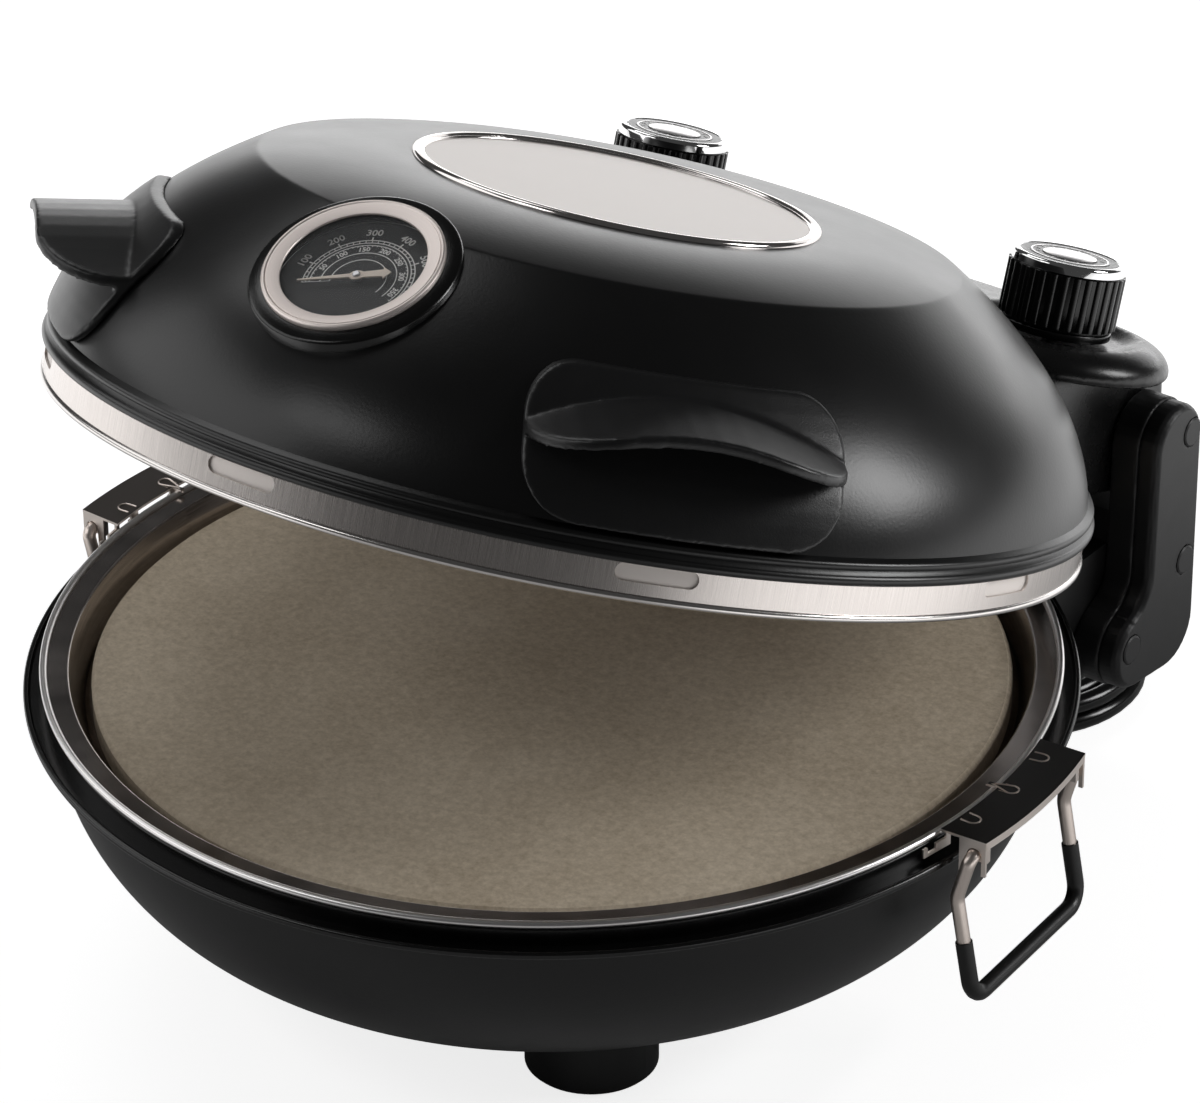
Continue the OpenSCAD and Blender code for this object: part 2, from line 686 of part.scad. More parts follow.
// Lug behind an ear, with the hole that the wire's end turns in
module keeper(e) {
  difference() {
    translate([pivot_x - 3.4, e > 0 ? stub_y + 0.6 : -stub_y - 2.6, pivot_z - 3.4]) cube([6.8, 2, bracket_z - pivot_z + 3.5]);
    translate([pivot_x, -50, pivot_z]) rotate([-90, 0, 0]) cylinder(h = 100, r = wire_r + bore_gap);
  }
}
module hook() {
  translate([bead_at_r + 0.8, -2, bead_z - 1.7]) cube([3, 4, 0.65]);
  translate([bracket_in + 0.2, -2, bead_z - 1.7]) cube([0.8, 4, bracket_z - bead_z + 1.8]);
}
module pan_bracket_left() { color("#3a3533") pan_bracket(-1); }
module pan_bracket_right() { color("#3a3533") pan_bracket(1); }

// Wire handle: cranked legs hang from the ears, and a bar joins them below
module bail_line(r, from) {
  leg = norm([bar_x - crank_x, bar_z - crank_z]);
  lean = atan2(bar_x - crank_x, crank_z - bar_z);
  translate([crank_x, 0, crank_z]) rotate([0, -lean, 0]) {
    for (e = [-1, 1]) {
      translate([0, e * leg_y, -leg + bail_bend]) cylinder(h = leg - bail_bend - from, r = r);
      translate([0, e * (leg_y - bail_bend), -leg + bail_bend]) rotate([90, 0, 90]) rotate([0, 0, e > 0 ? -90 : 180])
        rotate_extrude(angle = 90) translate([bail_bend, 0]) circle(r, $fn = 32);
    }
    translate([0, bail_bend - leg_y, -leg]) rotate([-90, 0, 0]) cylinder(h = 2 * (leg_y - bail_bend), r = r);
  }
}
module bail_wire(side) {
  color("#b5a99f") at_handle(side) {
    bail_line(wire_r, 0);
    for (e = [-1, 1]) {
      translate([pivot_x, e * leg_y, pivot_z]) sphere(wire_r + 0.1, $fn = 32);
      translate([crank_x, e * leg_y, crank_z]) sphere(wire_r + 0.1, $fn = 32);
      rod([pivot_x, e * leg_y, pivot_z], [pivot_x, e * stub_y, pivot_z], wire_r);
      rod([crank_x, e * leg_y, crank_z], [pivot_x, e * leg_y, pivot_z], wire_r);
    }
  }
}
module bail_sleeve(side) {
  color("#1a1a1b") at_handle(side) difference() {
    bail_line(sleeve_r, sleeve_from);
    bail_line(wire_r, 0);
  }
}
module bail_wire_left() { bail_wire(-1); }
module bail_wire_right() { bail_wire(1); }
module bail_sleeve_left() { bail_sleeve(-1); }
module bail_sleeve_right() { bail_sleeve(1); }

// Lid
module lid_shell() {
  color("#1e1f22") on_lid() difference() {
    turned(concat(
      skirt_line(), wall_line(skirt_high, crease_z - 1, 0), plate_line(0), [[0, top_z]],
      [[0, top_z - dome_wall]], [for (i = [5:-1:0]) plate_line(-dome_wall)[i]],
      [for (i = [wall_steps:-1:0]) wall_line(skirt_high, crease_z - 1, -dome_wall)[i]],
      [[band_r + 0.15, skirt_high - 4], [band_r + 0.15, skirt_low]]));
    translate([0, window_y, 70]) linear_extrude(30) polygon(oval(window_a - 3.2, window_b - 3.2));
    translate([0, gauge_y, gauge_z]) rotate([gauge_tilt, 0, 0]) translate([0, 0, -30])
      cylinder(h = 60, r = cup_r + 0.1);
  }
}

module lid_band() {
  color("#c4c5c6") on_lid() {
    difference() {
      turned([[band_r - band_wall, 0], [band_r, 0], [band_r, band_top], [band_r - band_wall, band_top]]);
      for (a = [-135:45:135]) rotate([0, 0, a]) translate([0, -150, vent_z]) rotate([90, 0, 0])
        linear_extrude(40) rounded(vent_w, vent_h, vent_h / 2 - 0.01);
    }
    rotate_extrude() translate([lip_bead_at, 0]) circle(lip_bead_r, $fn = 32);
  }
}

// Polished inner dish of the lid, with an oval well up to the window
module lid_liner() {
  color("#bfc1c2") on_lid() difference() {
    union() {
      turned([[170.6, 14], [168, 14], [159, 34], [145, 47], [131, liner_top], [0, liner_top],
        [0, liner_top + liner_wall], [131.2, liner_top + liner_wall], [145.4, 47.5], [159.5, 34.3],
        [168.4, 14.6], [170.6, 14.6]]);
      translate([0, window_y, liner_top]) linear_extrude(34) polygon(oval(liner_a + liner_wall, liner_b + liner_wall));
    }
    translate([0, window_y, 20]) linear_extrude(80) polygon(oval(liner_a, liner_b));
    translate([0, gauge_y, gauge_z]) rotate([gauge_tilt, 0, 0]) translate([0, 0, -60]) cylinder(h = 60, r = 5);
    for (x = [-1, 1]) translate([x * terminal_x, upper_ring_r, upper_ring_z - 5]) cylinder(h = 30, r = heater_r + 0.5);
  }
}

module upper_element() { color("#6d6a66") on_lid() translate([0, 0, upper_ring_z]) heater(upper_ring_r, 20, 0); }

module upper_clips() {
  color("#a7a9ab") on_lid() for (a = [60, 180, 300]) rotate([0, 0, a])
    translate([upper_ring_r, 0, upper_ring_z]) difference() {
      translate([-5.5, -4, -4.3]) cube([11, 8, liner_top - upper_ring_z + 4.3]);
      translate([0, -5, 0]) rotate([-90, 0, 0]) cylinder(h = 10, r = heater_r + 0.02);
      translate([-4.3, -5, 4.3]) cube([8.6, 10, 4]);
    }
}

module window_bezel() {
  color("#c9cbcd") on_lid() translate([0, window_y, 0]) difference() {
    union() {
      translate([0, 0, top_z + 0.02]) linear_extrude(0.9) polygon(oval(window_a, window_b));
      translate([0, 0, top_z + 0.9]) linear_extrude(0.6) polygon(oval(window_a - 0.8, window_b - 0.8));
    }
    translate([0, 0, 80]) linear_extrude(20) polygon(oval(window_a - bezel_w, window_b - bezel_w));
    translate([0, 0, 80]) linear_extrude(top_z + 0.3 - 80) polygon(oval(window_a - 3.2, window_b - 3.2));
  }
}

module window_glass() {
  color("#cfcbc6", 0.9) on_lid() translate([0, window_y, top_z - 2])
    linear_extrude(2.3) polygon(oval(window_a - 3.4, window_b - 3.4));
}

// Thermometer
module gauge_collar() {
  color("#141517") difference() {
    at_gauge() turned([[dial_r + 0.1, -12.5], [cup_r, -12.5], [cup_r, -12], [collar_r, -12], [collar_r, -3.4],
      [collar_r - 0.9, -2.4], [gauge_r + 0.05, -1.9], [gauge_r + 0.05, -3.1], [dial_r + 0.1, -3.1]]);
    difference() {
      on_lid() lid_space(0.02);
      at_gauge() translate([0, 0, -40]) cylinder(h = 60, r = cup_r);
    }
  }
}

module gauge_bezel() {
  color("#d6cfc9") at_gauge() turned([[23.1, -1.5], [24, -0.7], [28, 0], [gauge_r, -0.6], [gauge_r, -3.05],
    [dial_r + 0.1, -3.05], [dial_r + 0.1, -1.6], [23.1, -1.6]]);
}

module gauge_lens() { color("#f2f4f5", 0.25) at_gauge() translate([0, 0, lens_z]) cylinder(h = lens_h, r = dial_r); }

module gauge_dial() {
  color("#151618") at_gauge() difference() {
    translate([0, 0, dial_z - 1]) cylinder(h = 1, r = dial_r);
    translate([0, 0, dial_z - 2]) cylinder(h = 3, r = 0.85);
  }
}

module gauge_stem() {
  color("#b8babc") at_gauge() {
    translate([0, 0, -14]) cylinder(h = 14 + dial_z - 1, r = 14);
    translate([0, 0, -28.5]) cylinder(h = 15, r = 3);
  }
}

// Needle: hub, tapered pointer towards the low end of the scale, short tail
module gauge_needle() {
  color("#e7d8c3") at_gauge() {
    translate([0, 0, dial_z + 1.6]) linear_extrude(0.5)
      rotate(needle_rest) polygon([[-18.8, -0.25], [-2, -0.8], [0, -1.5], [8.6, -1.5], [8.6, -2.6], [11, 0],
        [8.6, 2.6], [8.6, 1.5], [0, 1.5], [-2, 0.8], [-18.8, 0.25]]);
    translate([0, 0, dial_z + 0.4]) cylinder(h = 2.4, r = 1.9, $fn = 32);
    translate([0, 0, dial_z - 0.9]) cylinder(h = 1.4, r = 0.8, $fn = 32);
  }
}

// Grip: plate that follows the wall, and an arched fin that stands out from it
module wall_skin(out) {
  turned(concat([[0, 12]], [[wall_at(12, out)[0], 12]], wall_line(14, 72, out), [[0, wall_at(72, out)[1]]]));
}
function arch(x) = fin_root - fin_arch * pow(x / fin_half, 2);
module fin_section() {
  polygon(concat([for (x = [-52:8:52]) [x, arch(x)]], [for (x = [52:-8:-52]) [x, arch(x) - fin_t]]));
}
module grip(side) {
  color("#26272a") on_lid() rotate([0, 0, side * grip_az]) difference() {
    union() {
      intersection() {
        wall_skin(plate_t);
        translate([0, -100, (plate_low + plate_high) / 2]) rotate([90, 0, 0]) linear_extrude(100)
          rounded(grip_w, plate_high - plate_low, plate_corner);
      }
      intersection() {
        translate([0, -150, 0]) rotate([fin_droop, 0, 0]) translate([0, 60, 0]) rotate([90, 0, 0])
          linear_extrude(120) fin_section();
        translate([0, -148, 0]) linear_extrude(90) rounded(grip_w, 70, fin_corner);
        cylinder(h = 90, r = grip_reach);
      }
    }
    wall_skin(0.05);
    translate([0, 0, 50]) cylinder(h = 60, r = 100);
  }
}
module grip_left() { grip(-1); }
module grip_right() { grip(1); }

// Rear control housing: a neck between the hinge arms, and a shelf with round ends under the knobs
function neck_line() = concat(
  [[110, house_shelf + 0.5], [150, house_shelf + 0.5], [150, house_top], [house_bend_y, house_top]],
  ring_oval([house_bend_y, house_bend_z], house_back - house_bend_y, house_top - house_bend_z, 80, 0),
  ring_arc([pin_y, pin_lid_z], house_back - pin_y, 0, -90),
  [[110, pin_lid_z - house_back + pin_y]]);
function ring_oval(c, a, b, t0, t1) =
  [for (i = [0:8]) let(t = t0 + (t1 - t0) * i / 8) [c[0] + a * cos(t), c[1] + b * sin(t)]];
module across(half, points) {
  translate([-half, 0, 0]) rotate([90, 0, 90]) linear_extrude(2 * half) polygon(points);
}
function shelf_line(edge, from) = concat(
  [[from, house_shelf], [edge - 2, house_shelf]], ring_arc([edge - 2, house_shelf + 2], 2, -90, 0),
  ring_oval([edge - shelf_round, house_shelf + 2.5], shelf_round, house_top - house_shelf - 2.5, 0, 90),
  [[from, house_top]]);
module shelf_end() { turned(shelf_line(shelf_r, 0)); }
module shelf_bar() { across(knob_x, shelf_line(knob_y + shelf_r, 110)); }
module control_housing() {
  color("#1f2022") on_lid() difference() {
    union() {
      across(house_half, neck_line());
      shelf_bar();
      for (s = [-1, 1]) translate([s * knob_x, knob_y, 0]) shelf_end();
    }
    lid_space(0.15);
    // Hollow round the controls, open to the back of the lid
    translate([-98, 100, house_low + house_wall]) cube([196, 78, 48]);
    translate([-boss_x, 170, house_low + house_wall]) cube([2 * boss_x, 26, 42]);
    for (s = [-1, 1]) translate([s * knob_x, knob_y, 0]) {
      turned([[0, 90], [dish_r + 7.2, 90], [dish_r, house_top], [dish_floor_r, dish_z], [0, dish_z]]);
      cylinder(h = 80, r = shaft_r + 1);
    }
    for (s = [-1, 1]) translate([s * (house_half + 1), pin_y, pin_lid_z]) rotate([0, -s * 90, 0])
      cylinder(h = house_half - boss_x + 1, r = 6.5);
    translate([-80, house_back - 2, 9]) cube([160, 10, 17]);
    for (x = [-72, 72]) translate([x, house_back - 12, 17.5]) rotate([-90, 0, 0]) cylinder(h = 14, r = 1.5);
  }
}

// Vented panel in the back of the control housing
module housing_cover() {
  color("#1b1c1e") on_lid() difference() {
    translate([-79.8, house_back - 1.95, 9.2]) cube([159.6, 1.9, 16.6]);
    for (x = [-9:9]) translate([x * 6.4 - 1.2, house_back - 5, 12.5]) cube([2.4, 10, 10]);
    for (x = [-72, 72]) translate([x, house_back - 12, 17.5]) rotate([-90, 0, 0]) cylinder(h = 14, r = 1.5);
  }
}

module hinge_bushes() {
  color("#c2a86a") on_lid() for (s = [-1, 1]) translate([s * boss_x, pin_y, pin_lid_z]) rotate([0, s * 90, 0])
    tube(house_half - boss_x, 6.5, pin_r + bore_gap);
}

// Switch body under a knob, given by its outline
module control_body(side) {
  at_knob(side) difference() {
    union() {
      translate([0, 0, switch_low]) linear_extrude(switch_h) children();
      translate([0, 0, switch_low + switch_h - 0.1]) cylinder(h = 1.4, r = 6);
    }
    translate([0, 0, shaft_low - 0.3]) cylinder(h = 40, r = shaft_r + bore_gap);
  }
}
module thermostat() { color("#d9d4c8") control_body(1) circle(12); }
module timer() { color("#b9bcc0") control_body(-1) rounded(21, 21, 5); }

// Knob: ridged body over a smooth collar, on its shaft
function ridge_line() =
  [for (i = [0:knob_ridges - 1], k = [0:3])
    let(a = 360 / knob_ridges * (i + [0, 0.12, 0.62, 0.74][k]), r = k == 0 || k == 3 ? knob_r - 0.75 : knob_r)
    [r * cos(a), r * sin(a)]];
module knob(side) {
  color("#141517") at_knob(side) {
    difference() {
      union() {
        translate([0, 0, knob_low]) linear_extrude(knob_high - knob_low) polygon(ridge_line());
        turned([[0, collar_low], [knob_collar_r - 0.6, collar_low], [knob_collar_r, collar_low + 0.6],
          [knob_collar_r, collar_high - 0.6], [knob_collar_r - 0.6, collar_high], [18.2, collar_high],
          [18.2, knob_low + 0.1], [0, knob_low + 0.1]]);
      }
      translate([0, 0, collar_low - 1]) tube(18, 16.6, 6);
    }
    translate([0, 0, shaft_low]) cylinder(h = knob_low - shaft_low + 1, r = shaft_r);
  }
}
module knob_ring(side) {
  color("#d2d4d6") at_knob(side) turned(concat(
    [[face_r + 0.05, knob_high], [ring_r - 0.3, knob_high], [ring_r, knob_high + 0.3]],
    ring_arc([ring_r - 1.4, knob_face - 1.1], 1.4, 0, 90),
    [[face_r + 0.05, knob_face + 0.2]]));
}
// Dark face with a raised silver disc
module knob_cap(side) {
  color("#4c4d50") at_knob(side) turned([[0, knob_high], [face_r, knob_high], [face_r, knob_face],
    [13.9, knob_face], [13.9, knob_face + 0.15], [13.2, knob_face + 0.15], [13.2, knob_face],
    [9.5, knob_face], [9.5, knob_face + 0.3], [0, knob_face + 0.3]]);
}
module timer_knob() { knob(-1); }
module timer_knob_ring() { knob_ring(-1); }
module timer_knob_cap() { knob_cap(-1); }
module thermostat_knob() { knob(1); }
module thermostat_knob_ring() { knob_ring(1); }
module thermostat_knob_cap() { knob_cap(1); }

module lid_screws() {
  color("#9fa2a6") on_lid() for (x = [-72, 72]) translate([x, house_back - 11, 17.5]) rotate([-90, 0, 0]) {
    cylinder(h = 11, r = 1.5);
    difference() {
      translate([0, 0, 11]) cylinder(h = 1, r = 3);
      translate([-0.4, -2, 11.4]) cube([0.8, 4, 1]);
      translate([-2, -0.4, 11.4]) cube([4, 0.8, 1]);
    }
  }
}

base_bowl();
base_rim();
base_liner();
lower_element();
element_clips();
foot_sleeves();
foot_pads();
rear_housing();
rear_cover();
terminal_block();
hinge_arm_left();
hinge_arm_right();
arm_cover_left();
arm_cover_right();
arm_caps();
hinge_pins();
base_screws();
strain_relief();
cord_run();
cord_coil();
plug_body();
plug_pins();
pan();
pan_bracket_left();
pan_bracket_right();
baking_stone();
bail_wire_left();
bail_sleeve_left();
bail_wire_right();
bail_sleeve_right();
lid_shell();
lid_band();
lid_liner();
upper_element();
upper_clips();
window_bezel();
window_glass();
gauge_collar();
gauge_bezel();
gauge_dial();
gauge_lens();
gauge_stem();
gauge_needle();
grip_left();
grip_right();
control_housing();
housing_cover();
hinge_bushes();
thermostat();
timer();
timer_knob();
timer_knob_ring();
timer_knob_cap();
thermostat_knob();
thermostat_knob_ring();
thermostat_knob_cap();
lid_screws();
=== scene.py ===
"""Electric pizza maker: finishes, moulded edges, wires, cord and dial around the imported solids."""
import json
import math

import bmesh
import bpy
from mathutils import Matrix, Vector

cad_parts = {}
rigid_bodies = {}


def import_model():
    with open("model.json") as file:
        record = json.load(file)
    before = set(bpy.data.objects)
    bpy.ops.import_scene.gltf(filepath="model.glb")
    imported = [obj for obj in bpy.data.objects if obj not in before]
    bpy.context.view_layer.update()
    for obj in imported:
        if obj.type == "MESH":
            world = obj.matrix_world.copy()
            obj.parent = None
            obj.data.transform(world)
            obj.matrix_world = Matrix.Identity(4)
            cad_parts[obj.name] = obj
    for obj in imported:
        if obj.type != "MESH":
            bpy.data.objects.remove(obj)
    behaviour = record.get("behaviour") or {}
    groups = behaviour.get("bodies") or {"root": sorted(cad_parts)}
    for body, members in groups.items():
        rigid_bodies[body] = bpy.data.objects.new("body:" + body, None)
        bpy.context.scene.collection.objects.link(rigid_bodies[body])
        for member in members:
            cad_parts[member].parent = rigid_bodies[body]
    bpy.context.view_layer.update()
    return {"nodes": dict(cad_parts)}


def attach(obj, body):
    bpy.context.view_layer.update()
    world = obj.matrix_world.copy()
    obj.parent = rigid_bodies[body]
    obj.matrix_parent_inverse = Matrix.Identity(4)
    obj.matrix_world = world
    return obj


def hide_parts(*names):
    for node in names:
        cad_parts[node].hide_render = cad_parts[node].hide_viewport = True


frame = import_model()

MM = 0.001

# Edges that bend more than this stay sharp in a smooth piece.
SHARP = math.radians(38)

# Where things are, in metres. BASE has its origin on the bowl's axis at the height of its rim, TABLE
# under it on the table, and LID where BASE is while the lid is shut, so that it opens with the lid.
BASE_Y = -20.5 * MM
RIM_Z = 98 * MM
LID_OPEN = math.radians(18.9)
PIN_Y, PIN_Z = 200 * MM, 21 * MM
LID_CLOSED_Z = 10.2 * MM

BASE = Matrix.Translation((0, BASE_Y, RIM_Z))
TABLE = Matrix.Translation((0, BASE_Y, 0))
LID = (
    Matrix.Translation((0, BASE_Y + PIN_Y, RIM_Z + PIN_Z))
    @ Matrix.Rotation(-LID_OPEN, 4, "X")
    @ Matrix.Translation((0, -PIN_Y, LID_CLOSED_Z - PIN_Z))
)
GAUGE = LID @ Matrix.Translation((0, -134.6 * MM, 72.2 * MM)) @ Matrix.Rotation(math.radians(36.5), 4, "X")

# The dial's print and needle are turned against the lid's middle line; its face lies at DIAL_Z mm.
DIAL = GAUGE @ Matrix.Rotation(math.radians(27), 4, "Z")
DIAL_Z = -7.4

# Side -1 is the left and side 1 the right, seen from the front.
KNOB_X, KNOB_Y = 82.8 * MM, 155.7 * MM
HANDLE_TURN = {-1: math.radians(2.1), 1: math.radians(4)}

# The camera, fitted to the photograph: azimuth, elevation and roll in degrees, its place from BASE in
# metres along its own right, up and back, and its lens and sensor in mm.
CAMERA_ANGLES = (37.21, 29.54, -0.41)
CAMERA_PLACE = (0.01588, 0.03659, 1.90891)
LENS, SENSOR = 172.6, 36


def knob_place(side):
    """A knob's own frame: its axis stands upright on the shut lid."""
    return LID @ Matrix.Translation((side * KNOB_X, KNOB_Y, 0))


def handle_point(side, x, y, z):
    """A place in mm on a pan handle, told from the handle's own middle line."""
    turn = HANDLE_TURN[side]
    across = x * math.cos(turn) - y * math.sin(turn)
    along = x * math.sin(turn) + y * math.cos(turn)
    return BASE @ (Vector((side * across, along, z)) * MM)


def in_scene(name, data):
    made = bpy.data.objects.new(name, data)
    bpy.context.scene.collection.objects.link(made)
    return made


# ---------------------------------------------------------------- camera
def make_camera():
    azimuth, elevation, roll = (math.radians(a) for a in CAMERA_ANGLES)
    level = math.cos(elevation)
    right = Vector((math.cos(azimuth), math.sin(azimuth), 0))
    back = Vector((math.sin(azimuth) * level, -math.cos(azimuth) * level, math.sin(elevation)))
    up = back.cross(right)
    c, s = math.cos(roll), math.sin(roll)
    right, up = c * right + s * up, c * up - s * right
    aside, above, away = CAMERA_PLACE
    eye = BASE.translation + aside * right + above * up + away * back
    lens = bpy.data.cameras.new("camera")
    lens.lens = LENS
    lens.sensor_width = SENSOR
    lens.sensor_fit = "HORIZONTAL"
    camera = in_scene("camera", lens)
    turn = Matrix((right, up, back)).transposed().to_4x4()
    camera.matrix_world = Matrix.Translation(eye) @ turn
    bpy.context.scene.camera = camera


make_camera()


# ---------------------------------------------------------------- materials
def finish(name, colour, roughness, metallic=0.0, **more):
    """A material whose even values sit on the shader's own sockets."""
    material = bpy.data.materials.new(name)
    material.use_nodes = True
    shader = material.node_tree.nodes["Principled BSDF"]
    shader.inputs["Base Color"].default_value = (*colour, 1)
    shader.inputs["Roughness"].default_value = roughness
    shader.inputs["Metallic"].default_value = metallic
    for socket, value in more.items():
        shader.inputs[socket.replace("_", " ")].default_value = value
    return material


def add(material, kind, **settings):
    """A new node; a setting with a socket's name goes on that socket, any other on the node."""
    made = material.node_tree.nodes.new(kind)
    for key, value in settings.items():
        if key in made.inputs:
            made.inputs[key].default_value = value
        else:
            setattr(made, key, value)
    return made


def link(material, source, target):
    material.node_tree.links.new(source, target)


def shader_of(material):
    return material.node_tree.nodes["Principled BSDF"]


def where(material, turn=None):
    """Object coordinates, turned into a piece's own frame where it leans."""
    coordinate = add(material, "ShaderNodeTexCoord").outputs["Object"]
    if turn is None:
        return coordinate
    inverse = turn.inverted()
    mapping = add(material, "ShaderNodeMapping", vector_type="POINT")
    mapping.inputs["Location"].default_value = inverse.translation
    mapping.inputs["Rotation"].default_value = inverse.to_euler("XYZ")
    link(material, coordinate, mapping.inputs["Vector"])
    return mapping.outputs["Vector"]


def noise(material, vector, scale, detail=4.0, roughness=0.55):
    """Soft noise from 0 to 1."""
    made = add(material, "ShaderNodeTexNoise", Scale=scale, Detail=detail, Roughness=roughness)
    link(material, vector, made.inputs["Vector"])
    return made.outputs["Fac"]


def span(material, value, low, high):
    """A value from 0 to 1 stretched to run from low to high."""
    made = add(material, "ShaderNodeMapRange")
    link(material, value, made.inputs["Value"])
    made.inputs["To Min"].default_value = low
    made.inputs["To Max"].default_value = high
    return made.outputs["Result"]


def blend_colours(material, value, dark, light, start=0.3, end=0.7):
    ramp = add(material, "ShaderNodeValToRGB")
    ramp.color_ramp.elements[0].position, ramp.color_ramp.elements[1].position = start, end
    ramp.color_ramp.elements[0].color = (*dark, 1)
    ramp.color_ramp.elements[1].color = (*light, 1)
    link(material, value, ramp.inputs["Fac"])
    return ramp.outputs["Color"]


def grain(material, vector, scale, depth, detail=3.0):
    """Fine relief in the surface, depth in metres."""
    bump = add(material, "ShaderNodeBump", Strength=1.0, Distance=depth)
    link(material, noise(material, vector, scale, detail), bump.inputs["Height"])
    link(material, bump.outputs["Normal"], shader_of(material).inputs["Normal"])


def uneven_gloss(material, vector, scale, low, high):
    cloud = noise(material, vector, scale, 5.0)
    link(material, span(material, cloud, low, high), shader_of(material).inputs["Roughness"])


def enamel(name, colour, gloss):
    """Satin black stove enamel: soft sheen with a faint orange peel."""
    made = finish(name, colour, gloss, IOR=1.5)
    place = where(made)
    grain(made, place, 900, 0.00003, 2.0)
    uneven_gloss(made, place, 55, gloss - 0.03, gloss + 0.03)
    return made


def moulding(name, colour, gloss, texture=1800, depth=0.00004):
    """Spark-eroded plastic: a fine matt grain with slightly uneven sheen."""
    made = finish(name, colour, gloss)
    place = where(made)
    grain(made, place, texture, depth)
    uneven_gloss(made, place, 120, gloss - 0.05, gloss + 0.05)
    return made


def around(material, turn):
    """Coordinates along a round wall: angle, nothing, height."""
    split = add(material, "ShaderNodeSeparateXYZ")
    link(material, where(material, turn), split.inputs["Vector"])
    angle = add(material, "ShaderNodeMath", operation="ARCTAN2")
    link(material, split.outputs["Y"], angle.inputs[0])
    link(material, split.outputs["X"], angle.inputs[1])
    joined = add(material, "ShaderNodeCombineXYZ")
    link(material, angle.outputs["Value"], joined.inputs["X"])
    link(material, split.outputs["Z"], joined.inputs["Z"])
    return joined.outputs["Vector"]


def out_from(material, turn):
    """Coordinates on a turned face: the distance from its middle."""
    split = add(material, "ShaderNodeSeparateXYZ")
    link(material, where(material, turn), split.inputs["Vector"])
    flat = add(material, "ShaderNodeCombineXYZ")
    link(material, split.outputs["X"], flat.inputs["X"])
    link(material, split.outputs["Y"], flat.inputs["Y"])
    length = add(material, "ShaderNodeVectorMath", operation="LENGTH")
    link(material, flat.outputs["Vector"], length.inputs[0])
    joined = add(material, "ShaderNodeCombineXYZ")
    link(material, length.outputs["Value"], joined.inputs["X"])
    return joined.outputs["Vector"]


def brushed(name, colour, gloss, vector_of, stretch, depth=0.00002, swing=0.12):
    """Steel with fine parallel scratches; stretch sets how dense they lie along each coordinate."""
    made = finish(name, colour, gloss, 1.0)
    vector = vector_of(made)
    scaled = add(made, "ShaderNodeMapping", vector_type="POINT")
    scaled.inputs["Scale"].default_value = stretch
    link(made, vector, scaled.inputs["Vector"])
    lines = noise(made, scaled.outputs["Vector"], 1.0, 3.0, 0.6)
    link(made, span(made, lines, gloss - swing, gloss + swing), shader_of(made).inputs["Roughness"])
    dark = tuple(0.8 * c for c in colour)
    light = tuple(min(1.0, 1.12 * c) for c in colour)
    link(made, blend_colours(made, lines, dark, light, 0.35, 0.65), shader_of(made).inputs["Base Color"])
    bump = add(made, "ShaderNodeBump", Strength=0.5, Distance=depth)
    link(made, lines, bump.inputs["Height"])
    link(made, bump.outputs["Normal"], shader_of(made).inputs["Normal"])
    return made


BARE_STEEL = (0.78, 0.71, 0.66)
PAINT_FROM = RIM_Z + 8.22 * MM


def two_tone_bracket(name, dark):
    """Dark paint on the bracket's top, bare warm steel on its ears and edges."""
    made = finish(name, BARE_STEEL, 0.4, 1.0)
    place = where(made)
    split = add(made, "ShaderNodeSeparateXYZ")
    link(made, place, split.inputs["Vector"])
    painted = add(made, "ShaderNodeMath", operation="GREATER_THAN")
    link(made, split.outputs["Z"], painted.inputs[0])
    painted.inputs[1].default_value = PAINT_FROM
    paint = painted.outputs["Value"]
    shader = shader_of(made)
    link(made, blend_colours(made, paint, BARE_STEEL, dark, 0.4, 0.6), shader.inputs["Base Color"])
    link(made, span(made, paint, 1.0, 0.0), shader.inputs["Metallic"])
    link(made, span(made, paint, 0.4, 0.32), shader.inputs["Roughness"])
    grain(made, place, 1500, 0.00002)
    return made


def cordierite(name):
    """Baked stone: warm grey beige with a fine speckle and open pores."""
    made = finish(name, (0.62, 0.5, 0.35), 0.85)
    place = where(made)
    fine = noise(made, place, 420, 6.0, 0.7)
    broad = noise(made, place, 14, 3.0)
    mixed = add(made, "ShaderNodeMath", operation="MULTIPLY_ADD")
    link(made, broad, mixed.inputs[0])
    mixed.inputs[1].default_value = 0.5
    link(made, fine, mixed.inputs[2])
    speckle = blend_colours(made, mixed.outputs["Value"], (0.46, 0.37, 0.26), (0.8, 0.69, 0.54), 0.45, 1.05)
    link(made, speckle, shader_of(made).inputs["Base Color"])
    grain(made, place, 600, 0.00012, 6.0)
    return made


def glossy_sheath(name):
    made = finish(name, (0.003, 0.003, 0.003), 0.2)
    grain(made, where(made), 300, 0.00003)
    return made


def round_lid(material):
    return around(material, LID)


def round_pan(material):
    return around(material, BASE)


def gauge_face(material):
    return out_from(material, GAUGE)


lid_paint = enamel("satin_black_lid", (0.0028, 0.0028, 0.003), 0.3)
bowl_paint = enamel("satin_black_bowl", (0.0035, 0.0035, 0.0037), 0.38)
housing_plastic = moulding("housing_moulding", (0.0035, 0.0035, 0.0036), 0.27, 1400, 0.00002)
rim_black = moulding("black_lip", (0.003, 0.003, 0.003), 0.2)
black_plastic = moulding("black_moulding", (0.0035, 0.0035, 0.0036), 0.42)
grey_plastic = moulding("grip_moulding", (0.007, 0.007, 0.0074), 0.34)
arm_plastic = moulding("arm_moulding", (0.006, 0.006, 0.0064), 0.45)
knob_plastic = moulding("knob_moulding", (0.0025, 0.0025, 0.0025), 0.22, 2500, 0.00002)
band_steel = brushed("band_steel", (0.72, 0.67, 0.64), 0.26, round_lid, (900, 1, 25), 0.000012, 0.08)
lip_steel = finish("rolled_lip", (0.74, 0.71, 0.69), 0.2, 1.0)
